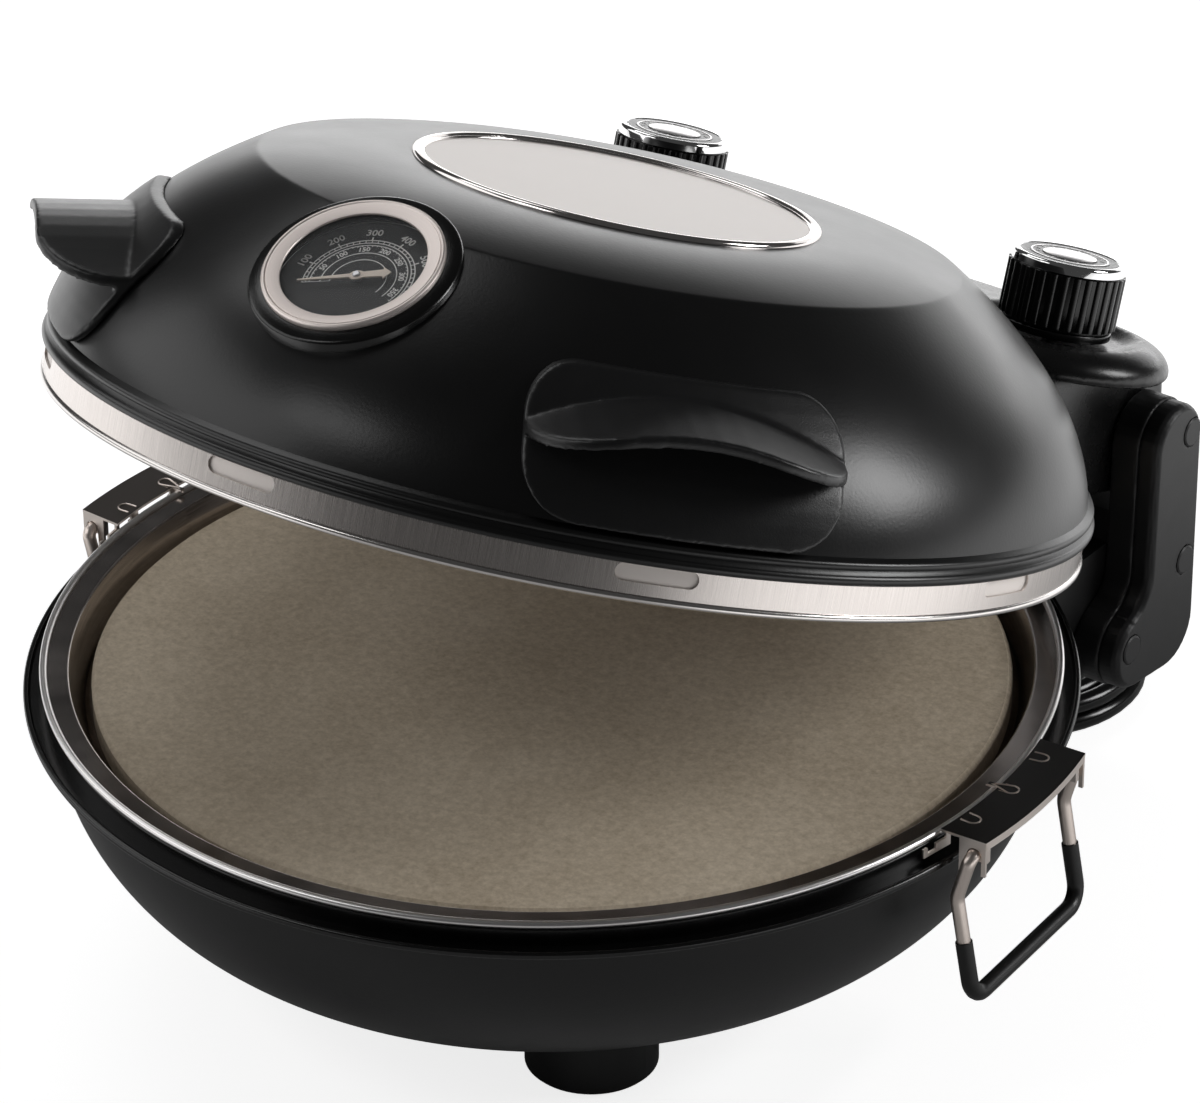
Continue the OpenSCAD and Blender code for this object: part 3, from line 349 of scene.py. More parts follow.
# The pan and its rolled bead are one steel sheet in two colours: the pan's is darkened, painted shade for the
# dark it mirrors, and the bead's is lightened, a painted highlight.
pan_steel = brushed("pan_steel", (0.42, 0.385, 0.365), 0.2, round_pan, (6, 1, 900), 0.00001, 0.08)
bead_steel = finish("rolled_bead", (0.86, 0.84, 0.83), 0.3, 1.0)
vent_steel = finish("vent_backing", (0.85, 0.79, 0.75), 0.5, 0.4)
liner_steel = brushed("liner_sheet", (0.6, 0.6, 0.61), 0.32, round_lid, (10, 1, 500), 0.00001)
plated = finish("zinc_plate", (0.52, 0.52, 0.54), 0.35, 1.0)
bright_chrome = finish("bright_chrome", (0.83, 0.83, 0.83), 0.06, 1.0)
window_trim = finish("window_trim", (0.8, 0.76, 0.74), 0.1, 1.0)
gauge_steel = brushed("turned_bezel", (0.88, 0.8, 0.76), 0.48, gauge_face, (9000, 1, 1), 0.000004, 0.06)
wire_steel = finish("wire_steel", (0.8, 0.71, 0.65), 0.36, 1.0)
sleeve_black = moulding("wire_sleeve", (0.004, 0.004, 0.004), 0.36)
# The left bracket's painted top is lighter and browner than the right's.
bracket_finish = two_tone_bracket("bracket_two_tone", (0.007, 0.0065, 0.0062))
left_bracket_tone = two_tone_bracket("bracket_left_tone", (0.05, 0.04, 0.034))
stone_finish = cordierite("cordierite")
cord_black = glossy_sheath("cord_sheath")
dial_black = moulding("dial_face", (0.012, 0.012, 0.0125), 0.5, 900, 0.00001)
shader_of(dial_black).inputs["Specular IOR Level"].default_value = 0.2
dial_white = finish("dial_print", (0.95, 0.94, 0.92), 0.5)
needle_cream = finish("needle_cream", (0.95, 0.82, 0.7), 0.4)
lens_glass = finish("gauge_lens", (0.9, 0.92, 0.93), 0.02, Alpha=0.04, IOR=1.5)
window_glass = finish("window_mirror_glass", (0.575, 0.54, 0.52), 0.42, 1.0)
face_grey = moulding("knob_face", (0.05, 0.05, 0.052), 0.32, 1400, 0.00005)
disc_silver = finish("knob_disc", (0.88, 0.86, 0.86), 0.28, 1.0)
heater_dark = moulding("heater_sheath", (0.05, 0.048, 0.045), 0.6, 700)
foot_black = moulding("foot_pad", (0.006, 0.006, 0.006), 0.7)
block_cream = moulding("connector_block", (0.62, 0.58, 0.5), 0.6)
brass = finish("plain_brass", (0.72, 0.55, 0.28), 0.32, 1.0)

CAD_FINISH = {
    "base_bowl": bowl_paint, "base_rim": rim_black, "base_liner": liner_steel, "lower_element": heater_dark,
    "element_clips": plated, "foot_sleeves": bowl_paint, "foot_pads": foot_black, "rear_housing": black_plastic,
    "rear_cover": black_plastic, "terminal_block": block_cream, "hinge_arm_left": arm_plastic,
    "hinge_arm_right": arm_plastic, "arm_cover_left": arm_plastic, "arm_cover_right": arm_plastic,
    "arm_caps": arm_plastic, "hinge_pins": plated, "base_screws": plated, "strain_relief": sleeve_black,
    "cord_run": cord_black, "cord_coil": cord_black, "plug_body": cord_black, "plug_pins": brass,
    "pan": pan_steel, "pan_bracket_left": left_bracket_tone, "pan_bracket_right": bracket_finish,
    "baking_stone": stone_finish, "bail_wire_left": wire_steel, "bail_wire_right": wire_steel,
    "bail_sleeve_left": sleeve_black, "bail_sleeve_right": sleeve_black, "lid_shell": lid_paint,
    "lid_band": band_steel, "lid_liner": liner_steel, "upper_element": heater_dark, "upper_clips": plated,
    "window_bezel": window_trim, "window_glass": window_glass, "gauge_collar": rim_black,
    "gauge_bezel": gauge_steel, "gauge_dial": dial_black, "gauge_lens": lens_glass, "gauge_stem": plated,
    "gauge_needle": needle_cream, "grip_left": grey_plastic, "grip_right": grey_plastic,
    "control_housing": housing_plastic, "housing_cover": black_plastic, "hinge_bushes": brass,
    "thermostat": block_cream, "timer": plated, "timer_knob": knob_plastic, "timer_knob_ring": bright_chrome,
    "timer_knob_cap": face_grey, "thermostat_knob": knob_plastic, "thermostat_knob_ring": bright_chrome,
    "thermostat_knob_cap": face_grey, "lid_screws": plated,
}
for node_name, material in CAD_FINISH.items():
    body = frame["nodes"][node_name]
    body.data.materials.clear()
    body.data.materials.append(material)


# ---------------------------------------------------------------- making pieces
def piece_from(name, mesh, material, body, stands_for=(), smooth=True):
    """A visible piece that rides on a body and takes the place of the nodes that it stands for."""
    mesh.materials.clear()
    mesh.materials.append(material)
    for polygon in mesh.polygons:
        polygon.material_index = 0
        polygon.use_smooth = smooth
    if smooth:
        mesh.set_sharp_from_angle(angle=SHARP)
    made = in_scene(name, mesh)
    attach(made, body)
    if stands_for:
        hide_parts(*stands_for)
    return made


def outward_mesh(name, work):
    """What a bmesh holds as a mesh, its faces turned outwards; the bmesh itself is freed."""
    bmesh.ops.recalc_face_normals(work, faces=work.faces)
    mesh = bpy.data.meshes.new(name)
    work.to_mesh(mesh)
    work.free()
    return mesh


def evaluated_mesh(made):
    """The object's modifiers worked into a plain mesh; the object itself is removed."""
    bpy.context.view_layer.update()
    graph = bpy.context.evaluated_depsgraph_get()
    mesh = bpy.data.meshes.new_from_object(made.evaluated_get(graph), depsgraph=graph)
    bpy.data.objects.remove(made)
    return mesh


def moulded(name, node_name, material, body, voxel, passes, keep):
    """A CAD solid with its edges and inner corners rounded as a moulding's are; keep is the share of its
    triangles that stays."""
    source = frame["nodes"][node_name].data.copy()
    work = bmesh.new()
    work.from_mesh(source)
    bmesh.ops.remove_doubles(work, verts=work.verts, dist=0.00001)
    work.to_mesh(source)
    work.free()
    blank = in_scene(name + "_blank", source)
    remesh = blank.modifiers.new("voxels", "REMESH")
    remesh.mode = "VOXEL"
    remesh.voxel_size = voxel
    remesh.adaptivity = 0
    soften = blank.modifiers.new("soften", "SMOOTH")
    soften.factor = 0.5
    soften.iterations = passes
    thin = blank.modifiers.new("thin", "DECIMATE")
    thin.ratio = keep
    return piece_from(name, evaluated_mesh(blank), material, body, [node_name])


def bend_through(corners, radii, steps=6):
    """Points along straight runs joined by round bends."""
    path = [Vector(corners[0])]
    for i in range(1, len(corners) - 1):
        a, b, c = (Vector(corners[k]) for k in (i - 1, i, i + 1))
        u, v = (a - b).normalized(), (c - b).normalized()
        half = u.angle(v) / 2
        back = radii[i - 1] / math.tan(half)
        start, end = b + u * back, b + v * back
        centre = b + (u + v).normalized() * (radii[i - 1] / math.sin(half))
        for k in range(steps + 1):
            t = k / steps
            spoke = (start - centre).normalized().slerp((end - centre).normalized(), t)
            path.append(centre + (start - centre).length * spoke)
    path.append(Vector(corners[-1]))
    return path


def round_curve(name, path, radius, sides):
    """A curve through a path's points, as thick as its radius says."""
    curve = bpy.data.curves.new(name, "CURVE")
    curve.dimensions = "3D"
    curve.bevel_depth = radius
    curve.bevel_resolution = sides
    curve.use_fill_caps = True
    line = curve.splines.new("POLY")
    line.points.add(len(path) - 1)
    for point, place in zip(line.points, path):
        point.co = (*place, 1)
    line.use_smooth = True
    return in_scene(name, curve)


def tube(name, path, radius, material, body, stands_for=(), sides=4):
    mesh = evaluated_mesh(round_curve(name, path, radius, sides))
    return piece_from(name, mesh, material, body, stands_for)


def mesh_of_rings(name, rings):
    """Skin over closed rings of points; a ring of one point is a pole. The last ring joins the first."""
    work = bmesh.new()
    rows = [[work.verts.new(point) for point in ring] for ring in rings]
    for low, high in zip(rows, rows[1:] + rows[:1]):
        for k in range(max(len(low), len(high))):
            n = k + 1
            corners = [low[k % len(low)], low[n % len(low)], high[n % len(high)], high[k % len(high)]]
            unique = list(dict.fromkeys(corners))
            if len(unique) > 2:
                work.faces.new(unique)
    return outward_mesh(name, work)


def turned_mesh(name, profile, place, steps=128):
    """A profile of (radius, height) in mm spun about the place's own axis."""
    rings = []
    for r, z in profile:
        count = steps if r > 1e-6 else 1
        angles = [2 * math.pi * k / steps for k in range(count)]
        rings.append([(r * MM * math.cos(a), r * MM * math.sin(a), z * MM) for a in angles])
    mesh = mesh_of_rings(name, rings)
    mesh.transform(place)
    return mesh


def turned(name, profile, place, material, body, steps=128, stands_for=()):
    mesh = turned_mesh(name, profile, place, steps)
    return piece_from(name, mesh, material, body, stands_for)


def cut_out(mesh, cutters):
    """The mesh with closed cutter meshes taken away."""
    blank = in_scene("blank", mesh)
    tools = []
    for cutter in cutters:
        tool = in_scene("cutter", cutter)
        tools.append(tool)
        step = blank.modifiers.new("cut", "BOOLEAN")
        step.operation = "DIFFERENCE"
        step.solver = "EXACT"
        step.object = tool
    result = evaluated_mesh(blank)
    for tool in tools:
        bpy.data.objects.remove(tool)
    return result


def prism(name, outline, low, high, place):
    """An outline in mm, raised from low to high."""
    work = bmesh.new()
    rows = [[work.verts.new((x * MM, y * MM, z * MM)) for x, y in outline] for z in (low, high)]
    for k in range(len(outline)):
        n = (k + 1) % len(outline)
        work.faces.new((rows[0][k], rows[0][n], rows[1][n], rows[1][k]))
    work.faces.new(rows[0])
    work.faces.new(rows[1])
    mesh = outward_mesh(name, work)
    mesh.transform(place)
    return mesh


def arc(centre, radius, start, end, steps=10):
    """Points along an arc, angles in degrees."""
    angles = [math.radians(start + (end - start) * k / steps) for k in range(steps + 1)]
    return [(centre[0] + radius * math.cos(a), centre[1] + radius * math.sin(a)) for a in angles]


def oval(a, b, steps=180):
    """Points round an oval with the half widths a and b."""
    angles = [2 * math.pi * k / steps for k in range(steps)]
    return [(a * math.cos(t), b * math.sin(t)) for t in angles]


# ---------------------------------------------------------------- cord
# In mm from TABLE: how thick the cord is; the coil's middle, outer radius, pitch and turns in a layer;
# the way from the strain relief to the coil, and from the coil to the plug.
CORD = 7.0
COIL = (39, 223, 46, 7.8, 2)
COIL_STEPS = 48
ROUTE = [
    (-45, 237, 60), (-45, 242, 60), (-45, 249, 58.5), (-45, 256, 54.5), (-45, 261, 49),
    (-45, 264.5, 42), (-44.5, 266, 35), (-43, 267, 28), (-40, 267.5, 21.5), (-35.5, 268, 15.5),
    (-30, 268.5, 10.5), (-23, 269, 6.5), (-15, 269, 4.2), (-6, 269, 3.5), (3, 269, 3.5),
    (12, 269, 3.5), (21, 269, 3.5), (30, 269, 3.5),
]
TAIL = [(30, 177, 11.3), (22, 176.8, 11.3), (14, 176.5, 10.8), (7, 176.2, 9.8), (0, 176, 9.2), (-6, 176, 9)]


def coil_point(t):
    """Where the cord is after t turns: inwards in the lower layer, over, and outwards in the upper."""
    x, y, outer, pitch, turns = COIL
    if t < turns:
        radius = outer - pitch * t
    elif t < turns + 0.5:
        radius = outer - pitch * turns - 1.4 * math.sin(2 * math.pi * (t - turns))
    else:
        radius = outer - pitch * (2 * turns + 0.5 - t)
    rise = pitch * min(1, max(0, (t - turns) * 2))
    angle = math.radians(90 - 360 * t)
    return (x + radius * math.cos(angle), y + radius * math.sin(angle), CORD / 2 + rise)


def make_cord():
    steps = int((2 * COIL[4] + 0.5) * COIL_STEPS)
    path = ROUTE + [coil_point(k / COIL_STEPS) for k in range(steps + 1)] + TAIL
    places = [TABLE @ Vector([c * MM for c in point]) for point in path]
    made = round_curve("mains_cord", places, CORD / 2 * MM, 4)
    made.data.materials.append(cord_black)
    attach(made, "base")
    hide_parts("cord_run", "cord_coil")


make_cord()


# ---------------------------------------------------------------- mouldings with soft edges
for side_name in ("left", "right"):
    moulded(f"grip_{side_name}_moulding", f"grip_{side_name}", grey_plastic, "lid",
            0.62 * MM, 16, 0.6)
for side_name in ("left", "right"):
    moulded(f"arm_{side_name}_inner", f"hinge_arm_{side_name}", arm_plastic, "base",
            0.6 * MM, 3, 0.5)
    moulded(f"arm_{side_name}_outer", f"arm_cover_{side_name}", arm_plastic, "base",
            0.5 * MM, 3, 0.5)
moulded("control_housing_moulding", "control_housing", housing_plastic, "lid",
        1.3 * MM, 3, 0.6)


# ---------------------------------------------------------------- wire handles
def wire_handle(side, name):
    """The bent wire that hangs in the bracket's ears, and the sleeve on its lower part."""
    pivot, crank, bar = (179.2, 2.5), (174.9, -13), (181.6, -49.5)
    leg, stub, sleeve_rise = 34.4, 27, 16

    def at(place, y):
        return handle_point(side, place[0], y, place[1])

    corners = [at(pivot, -stub), at(pivot, -leg), at(crank, -leg), at(bar, -leg),
               at(bar, leg), at(crank, leg), at(pivot, leg), at(pivot, stub)]
    bends = [r * MM for r in (3, 9, 7, 7, 9, 3)]
    body = f"bail_{name}"
    tube(f"{body}_wire", bend_through(corners, bends, 8), 2.3 * MM, wire_steel, body,
         [f"bail_wire_{name}"], 5)
    lean = Vector((bar[0] - crank[0], bar[1] - crank[1])).normalized()
    top = (crank[0] + lean.x * sleeve_rise, crank[1] + lean.y * sleeve_rise)
    sleeve = [at(top, -leg), at(bar, -leg), at(bar, leg), at(top, leg)]
    tube(f"{body}_sleeve", bend_through(sleeve, [7 * MM, 7 * MM], 10), 2.8 * MM, sleeve_black, body,
         [f"bail_sleeve_{name}"], 5)


def pressed_tongues(side, name):
    """Bright cut edges round the three tongues in a handle's plate; the middle one reaches over the
    pan's bead, where the plate lies lower."""
    for number, degrees in enumerate((-7.2, 0, 7.2)):
        turn = math.radians(degrees)
        outline = [(171.2, -2.35)] + arc((174.4, 0), 2.35, -90, 90, 8) + [(171.2, 2.35)]
        if number == 1:
            outline = [(165.4, -0.4), (168.1, -0.2)] + outline[1:-1] + [(170.6, 1.2), (168.1, 0.2)]
        path = []
        for x, y in outline:
            height = 7.3 if x < 167 else 8.35
            path.append(handle_point(side, x * math.cos(turn) - y * math.sin(turn),
                                     x * math.sin(turn) + y * math.cos(turn), height))
        tube(f"tongue_{name}_{number}", path, 0.32 * MM, wire_steel, "pan", (), 2)


for handle_side, handle_name in ((1, "right"), (-1, "left")):
    wire_handle(handle_side, handle_name)
    pressed_tongues(handle_side, handle_name)


# ---------------------------------------------------------------- geometry node trees
class Tree:
    """A geometry node tree whose sizes are named inputs."""

    def __init__(self, name, **sizes):
        self.group = bpy.data.node_groups.new(name, "GeometryNodeTree")
        self.sizes = sizes
        face = self.group.interface
        self.ids = {}
        for key, value in sizes.items():
            kind = "NodeSocketInt" if isinstance(value, int) else "NodeSocketFloat"
            self.ids[key] = face.new_socket(name=key, in_out="INPUT", socket_type=kind).identifier
        face.new_socket(name="Geometry", in_out="OUTPUT", socket_type="NodeSocketGeometry")
        self.inputs = self.group.nodes.new("NodeGroupInput")
        self.last = self.group.nodes.new("NodeGroupOutput")

    def size(self, key):
        """The socket that gives a named size."""
        return self.inputs.outputs[key]

    def put(self, kind, inputs=None, **settings):
        """A new node; an input is a value or another node's socket."""
        made = self.group.nodes.new(kind)
        for key, value in settings.items():
            setattr(made, key, value)
        for key, value in (inputs or {}).items():
            if isinstance(value, bpy.types.NodeSocket):
                self.group.links.new(value, made.inputs[key])
            else:
                made.inputs[key].default_value = value
        return made

    def math(self, operation, a, b):
        return self.put("ShaderNodeMath", {0: a, 1: b}, operation=operation).outputs[0]

    def point(self, x=0.0, y=0.0, z=0.0):
        return self.put("ShaderNodeCombineXYZ", {"X": x, "Y": y, "Z": z}).outputs["Vector"]

    def mesh(self, name, geometry, material):
        """What the tree makes, as a plain mesh."""
        real = self.put("GeometryNodeRealizeInstances", {"Geometry": geometry}).outputs["Geometry"]
        dressed = self.put("GeometryNodeSetMaterial", {"Geometry": real, "Material": material})
        self.group.links.new(dressed.outputs["Geometry"], self.last.inputs["Geometry"])
        carrier = in_scene(name + "_carrier", bpy.data.meshes.new(name))
        modifier = carrier.modifiers.new("build", "NODES")
        modifier.node_group = self.group
        for key, value in self.sizes.items():
            modifier[self.ids[key]] = value
        return evaluated_mesh(carrier)


def ring_of(tree, shape, count, radius, start, sweep):
    """Places a shape count times along an arc, its X axis pointing outwards."""
    points = tree.put("GeometryNodeMeshLine", {"Count": count, "Offset": (0, 0, 0)})
    index = tree.put("GeometryNodeInputIndex").outputs[0]
    gaps = tree.math("SUBTRACT", count, 1.0)
    angle = tree.math("ADD", start, tree.math("MULTIPLY", sweep, tree.math("DIVIDE", index, gaps)))
    place = tree.point(tree.math("MULTIPLY", radius, tree.math("COSINE", angle, 0.0)),
                       tree.math("MULTIPLY", radius, tree.math("SINE", angle, 0.0)))
    moved = tree.put("GeometryNodeSetPosition", {"Geometry": points.outputs["Mesh"], "Position": place})
    turn = tree.put("FunctionNodeEulerToRotation", {"Euler": tree.point(z=angle)}).outputs["Rotation"]
    return tree.put("GeometryNodeInstanceOnPoints", {
        "Points": moved.outputs["Geometry"], "Instance": shape, "Rotation": turn}).outputs["Instances"]


RIDGES = 30


def knob_ridges(side, name):
    """Rounded upright bars round the drum, as grip ridges."""
    sizes = dict(count=RIDGES, radius=19.35 * MM, width=2.7 * MM, depth=1.7 * MM, low=59.3 * MM, high=77.5 * MM)
    tree = Tree(name + "_ridges", **sizes)
    circle = tree.put("GeometryNodeCurvePrimitiveCircle", {"Resolution": 12, "Radius": 0.5})
    flat_sides = tree.point(tree.size("depth"), tree.size("width"), 1.0)
    section = tree.put("GeometryNodeTransform", {"Geometry": circle.outputs["Curve"], "Scale": flat_sides})
    low, high = tree.point(z=tree.size("low")), tree.point(z=tree.size("high"))
    path = tree.put("GeometryNodeCurvePrimitiveLine", {"Start": low, "End": high})
    bar = tree.put("GeometryNodeCurveToMesh", {
        "Curve": path.outputs["Curve"], "Profile Curve": section.outputs["Geometry"], "Fill Caps": True})
    bars = ring_of(tree, bar.outputs["Mesh"], tree.size("count"), tree.size("radius"), 0.0,
                   2 * math.pi * (RIDGES - 1) / RIDGES)
    mesh = tree.mesh(name + "_ridges", bars, knob_plastic)
    mesh.transform(knob_place(side))
    return mesh


def knob_marks(name, place):
    """Short strokes round the knob's face, with a gap where the scale ends."""
    tree = Tree(name + "_marks", count=13, radius=11.2 * MM, length=1.5 * MM, width=0.45 * MM, height=81.3 * MM)
    stroke = tree.point(tree.size("length"), tree.size("width"), 0.3 * MM)
    block = tree.put("GeometryNodeMeshCube", {"Size": stroke})
    row = ring_of(tree, block.outputs["Mesh"], tree.size("count"), tree.size("radius"), 0.6, 4.9)
    height = tree.point(z=tree.size("height"))
    lifted = tree.put("GeometryNodeTransform", {"Geometry": row, "Translation": height})
    mesh = tree.mesh(name + "_marks", lifted.outputs["Geometry"], dial_white)
    mesh.transform(place)
    return mesh


def knob(side, name):
    place = knob_place(side)
    drum = [(6, 55.4), (18.4, 55.4)] + arc((18.6, 56), 0.6, -80, 0, 4) + arc((18.6, 57.6), 0.6, 0, 90, 4)
    drum += [(18.2, 58.3), (18.2, 58.9), (19.3, 59.1), (19.45, 59.4), (19.45, 77.3), (18.9, 77.8), (6, 77.8)]
    turned(f"{name}_drum", drum, place, knob_plastic, name, 192, [name])
    shaft = [(0, 41.5), (3, 41.5), (3, 55.6), (6.2, 55.6), (6.2, 77.6), (0, 77.6)]
    turned(f"{name}_shaft", shaft, place, plated, name, 48)
    piece_from(f"{name}_ridges", knob_ridges(side, name), knob_plastic, name)
    ring = [(16.95, 77.85), (19.2, 77.85), (19.45, 78.1)] + arc((18.05, 80.15), 1.4, 0, 90, 10)
    ring += [(17.3, 81.5), (16.95, 81.2)]
    turned(f"{name}_trim", ring, place, bright_chrome, name, 192, [f"{name}_ring"])
    disc = [(0, 81.62), (9.2, 81.62), (9.5, 81.4), (9.5, 81.2), (0, 81.2)]
    turned(f"{name}_disc", disc, place, disc_silver, name, 96)
    line = [(12.9, 81.25), (12.9, 81.48), (13.4, 81.48), (13.4, 81.25)]
    turned(f"{name}_line", line, place, disc_silver, name, 128)
    piece_from(f"{name}_marks", knob_marks(name, place), dial_white, name, (), False)


knob(-1, "timer_knob")
knob(1, "thermostat_knob")


# ---------------------------------------------------------------- lid
# In mm: the dome's wall bulges from its foot (DOME_R, WALL_Z) to the crease (CREASE_R, CREASE_Z); the
# plate inside it is flat at TOP_Z as far as PLATE_FLAT from the axis and falls away beyond.
DOME_R, CREASE_R, CREASE_Z, WALL_Z, WALL_POWER = 172, 117, 81.4, 2, 2.3
TOP_Z, PLATE_FLAT, PLATE_FALL = 88.7, 66, 0.0026

# The crease is eased from this height on the wall to this radius on the plate; a greater pull makes it
# sharper.
WALL_FROM, EASE_LOW, EASE_IN, EASE_STEPS, CREASE_PULL = 19, 80, 114.4, 12, 2.6
PLATE_STEPS, PLATE_STEP = 30, 2.2

# The window's half widths and how far its middle lies behind the lid's.
WINDOW_A, WINDOW_B, WINDOW_Y = 69.6, 62.8, 0.9
WINDOW_LIP = 3.2

# How many steps go round the large turned pieces.
ROUND = 288


def wall_point(z, out=0.0):
    """A point (radius, height) on the wall, moved out along the wall's normal."""
    part = (z - WALL_Z) / (CREASE_Z - WALL_Z)
    lean = (DOME_R - CREASE_R) * WALL_POWER * part ** (WALL_POWER - 1) / (CREASE_Z - WALL_Z)
    length = math.sqrt(1 + lean * lean)
    return CREASE_R + (DOME_R - CREASE_R) * (1 - part ** WALL_POWER) + out / length, z + out * lean / length


def plate_point(r, out=0.0):
    """A point (radius, height) on the plate, moved out upwards."""
    return r, TOP_Z - PLATE_FALL * max(r - PLATE_FLAT, 0) ** 2 + out


def dome_line(out, steps):
    """The dome from its foot to the window's edge, its crease eased."""
    wall = [wall_point(WALL_FROM + (EASE_LOW - WALL_FROM) * k / steps, out) for k in range(steps + 1)]
    plate = [plate_point(EASE_IN - PLATE_STEP * k, out) for k in range(PLATE_STEPS)]
    a, b = wall[-1], plate[0]
    before, after = wall[-2], plate[1]
    u, v = (a[0] - before[0], a[1] - before[1]), (b[0] - after[0], b[1] - after[1])
    reach = ((b[0] - a[0]) * v[1] - (b[1] - a[1]) * v[0]) / (u[0] * v[1] - u[1] * v[0])
    middle = (a[0] + reach * u[0], a[1] + reach * u[1])
    ease = []
    for k in range(1, EASE_STEPS):
        t = k / EASE_STEPS
        pull = 2 * CREASE_PULL * t * (1 - t)
        total = (1 - t) ** 2 + pull + t * t
        ease.append(tuple(((1 - t) ** 2 * a[i] + pull * middle[i] + t * t * b[i]) / total for i in (0, 1)))
    return wall + ease + plate


def dome():
    skirt = arc((171.9, 12.4), 1.9, -60, 62, 12) + arc((171.2, 16.7), 1.6, -50, 60, 10)
    outside = skirt + dome_line(0, 64)
    inside = dome_line(-1.2, 16)[::-1]
    mesh = turned_mesh("lid_shell", outside + inside + [(171.75, 15), (171.75, 10.5)], LID, ROUND)
    opening = [(x, y + WINDOW_Y) for x, y in oval(WINDOW_A - WINDOW_LIP, WINDOW_B - WINDOW_LIP)]
    window_hole = prism("window_hole", opening, 70, 100, LID)
    dial_hole = prism("dial_hole", oval(29.3, 29.3, 96), -30, 30, GAUGE)
    piece_from("dome", cut_out(mesh, [window_hole, dial_hole]), lid_paint, "lid", ["lid_shell"])


def band():
    """The steel band with seven long vents, a bright wall behind them, and the rolled lip below."""
    mesh = turned_mesh("lid_band", [(170.9, 0), (171.6, 0), (171.6, 12.5), (170.9, 12.5)], LID, ROUND)
    vent = arc((10.2, 0), 2.79, -90, 90, 10) + arc((-10.2, 0), 2.79, 90, 270, 10)
    upright = Matrix.Translation((0, 0, 7.8 * MM)) @ Matrix.Rotation(math.radians(90), 4, "X")
    holes = []
    for angle in range(-135, 136, 45):
        lean = Matrix.Rotation(math.radians(angle), 4, "Z") @ upright
        holes.append(prism("vent", vent, 150, 190, LID @ lean))
    piece_from("vented_band", cut_out(mesh, holes), band_steel, "lid", ["lid_band"])
    wall = [(170.1, 2.2), (170.75, 2.2), (170.75, 12.4), (170.1, 12.4)]
    turned("vent_wall", wall, LID, vent_steel, "lid", ROUND)
    turned("rolled_lip", arc((171.2, 0), 1.3, 0, 345, 23), LID, lip_steel, "lid", ROUND)


def window():
    """A rounded trim ring with a fine inner lip; its section is told as (inset, rise) in mm."""
    section = [(0, 0.02), (0.12, 0.6), (0.5, 1.1), (1.1, 1.42), (1.8, 1.5), (2.5, 1.38), (3.0, 1.05),
               (3.2, 0.7), (3.35, 0.72), (3.6, 0.86), (3.9, 0.84), (4.2, 0.6), (4.3, 0.32), (3.2, 0.3),
               (3.2, 0.02)]
    rings = []
    for inset, rise in section:
        ring = []
        for x, y in oval(WINDOW_A, WINDOW_B, 240):
            out = Vector((x / WINDOW_A ** 2, y / WINDOW_B ** 2)).normalized()
            ring.append(((x - out.x * inset) * MM, (y - out.y * inset + WINDOW_Y) * MM,
                         (TOP_Z + rise) * MM))
        rings.append(ring)
    mesh = mesh_of_rings("window_ring", rings)
    mesh.transform(LID)
    piece_from("window_ring", mesh, window_trim, "lid", ["window_bezel"])


dome()
band()
window()


# ---------------------------------------------------------------- thermometer
def thermometer():
    """The bezel, the collar under it, and the needle with its hub."""
    bezel = [(23.1, -1.55), (23.1, -1.1), (23.25, -0.9), (23.5, -0.84), (23.8, -0.79), (27.1, -0.17),
             (27.3, -0.16), (27.42, -0.3), (27.6, -0.16), (27.8, -0.05), (28.2, -0.02), (28.5, -0.12),
             (28.9, -0.6), (28.9, -3), (26.9, -3), (26.9, -1.6)]
    turned("dial_rim", bezel, GAUGE, gauge_steel, "lid", 192, ["gauge_bezel"])
    collar = [(26.9, -12.5), (33.2, -12.5), (33.7, -12), (33.7, -3.6), (33.3, -2.9), (32.6, -2.5),
              (29, -1.9), (29, -3.1), (26.9, -3.1)]
    turned("dial_collar", collar, GAUGE, rim_black, "lid", 192, ["gauge_collar"])
    needle = [(-18.8, -0.25), (-2.2, -0.8), (-1.2, -1.7), (0, -1.9), (1.2, -1.7), (2.2, -1.2),
              (8.4, -1.45), (8.4, -2.5), (11, 0), (8.4, 2.5), (8.4, 1.45), (2.2, 1.2), (1.2, 1.7),
              (0, 1.9), (-1.2, 1.7), (-2.2, 0.8), (-18.8, 0.25)]
    place = DIAL @ Matrix.Rotation(math.radians(3), 4, "Z")
    mesh = prism("pointer", needle, DIAL_Z + 1.6, DIAL_Z + 2.1, place)
    piece_from("pointer", mesh, needle_cream, "needle", ["gauge_needle"], False)
    hub = [(0, DIAL_Z + 2.9), (0.9, DIAL_Z + 2.9), (1.2, DIAL_Z + 2.6), (1.2, DIAL_Z + 0.3), (0, DIAL_Z + 0.3)]
    turned("pointer_hub", hub, GAUGE, plated, "needle", 48)


# The dial's two scales, in mm and in degrees counted against the clock.
SCALE_START, SCALE_END = 180, -42
FIRST_FIGURE, OUTER_GAP, INNER_GAP = 152, 33.2, 30
PRINTED_ARCS = ((17.65, 18.05), (16.5, 16.85), (15.4, 15.75), (11.95, 12.3), (8.85, 9.2))
OUTER_FIGURES = ("100", "200", "300", "400", "500", "600")
INNER_FIGURES = ("50", "100", "150", "200", "250", "300", "350")


def ring_print(work, inner, outer, start, end):
    """A printed line along an arc, or a tick where the arc is short."""
    steps = max(1, int(abs(end - start) / 3))
    angles = [math.radians(start + (end - start) * k / steps) for k in range(steps + 1)]
    rows = []
    for radius, rise in ((inner, 0), (outer, 0), (outer, 0.05), (inner, 0.05)):
        height = (DIAL_Z + 0.02 + rise) * MM
        around_dial = [(radius * MM * math.cos(t), radius * MM * math.sin(t), height) for t in angles]
        rows.append([work.verts.new(point) for point in around_dial])
    for low, high in zip(rows, rows[1:] + rows[:1]):
        for k in range(steps):
            work.faces.new((low[k], low[k + 1], high[k + 1], high[k]))
    for k in (0, steps):
        work.faces.new([row[k] for row in rows])


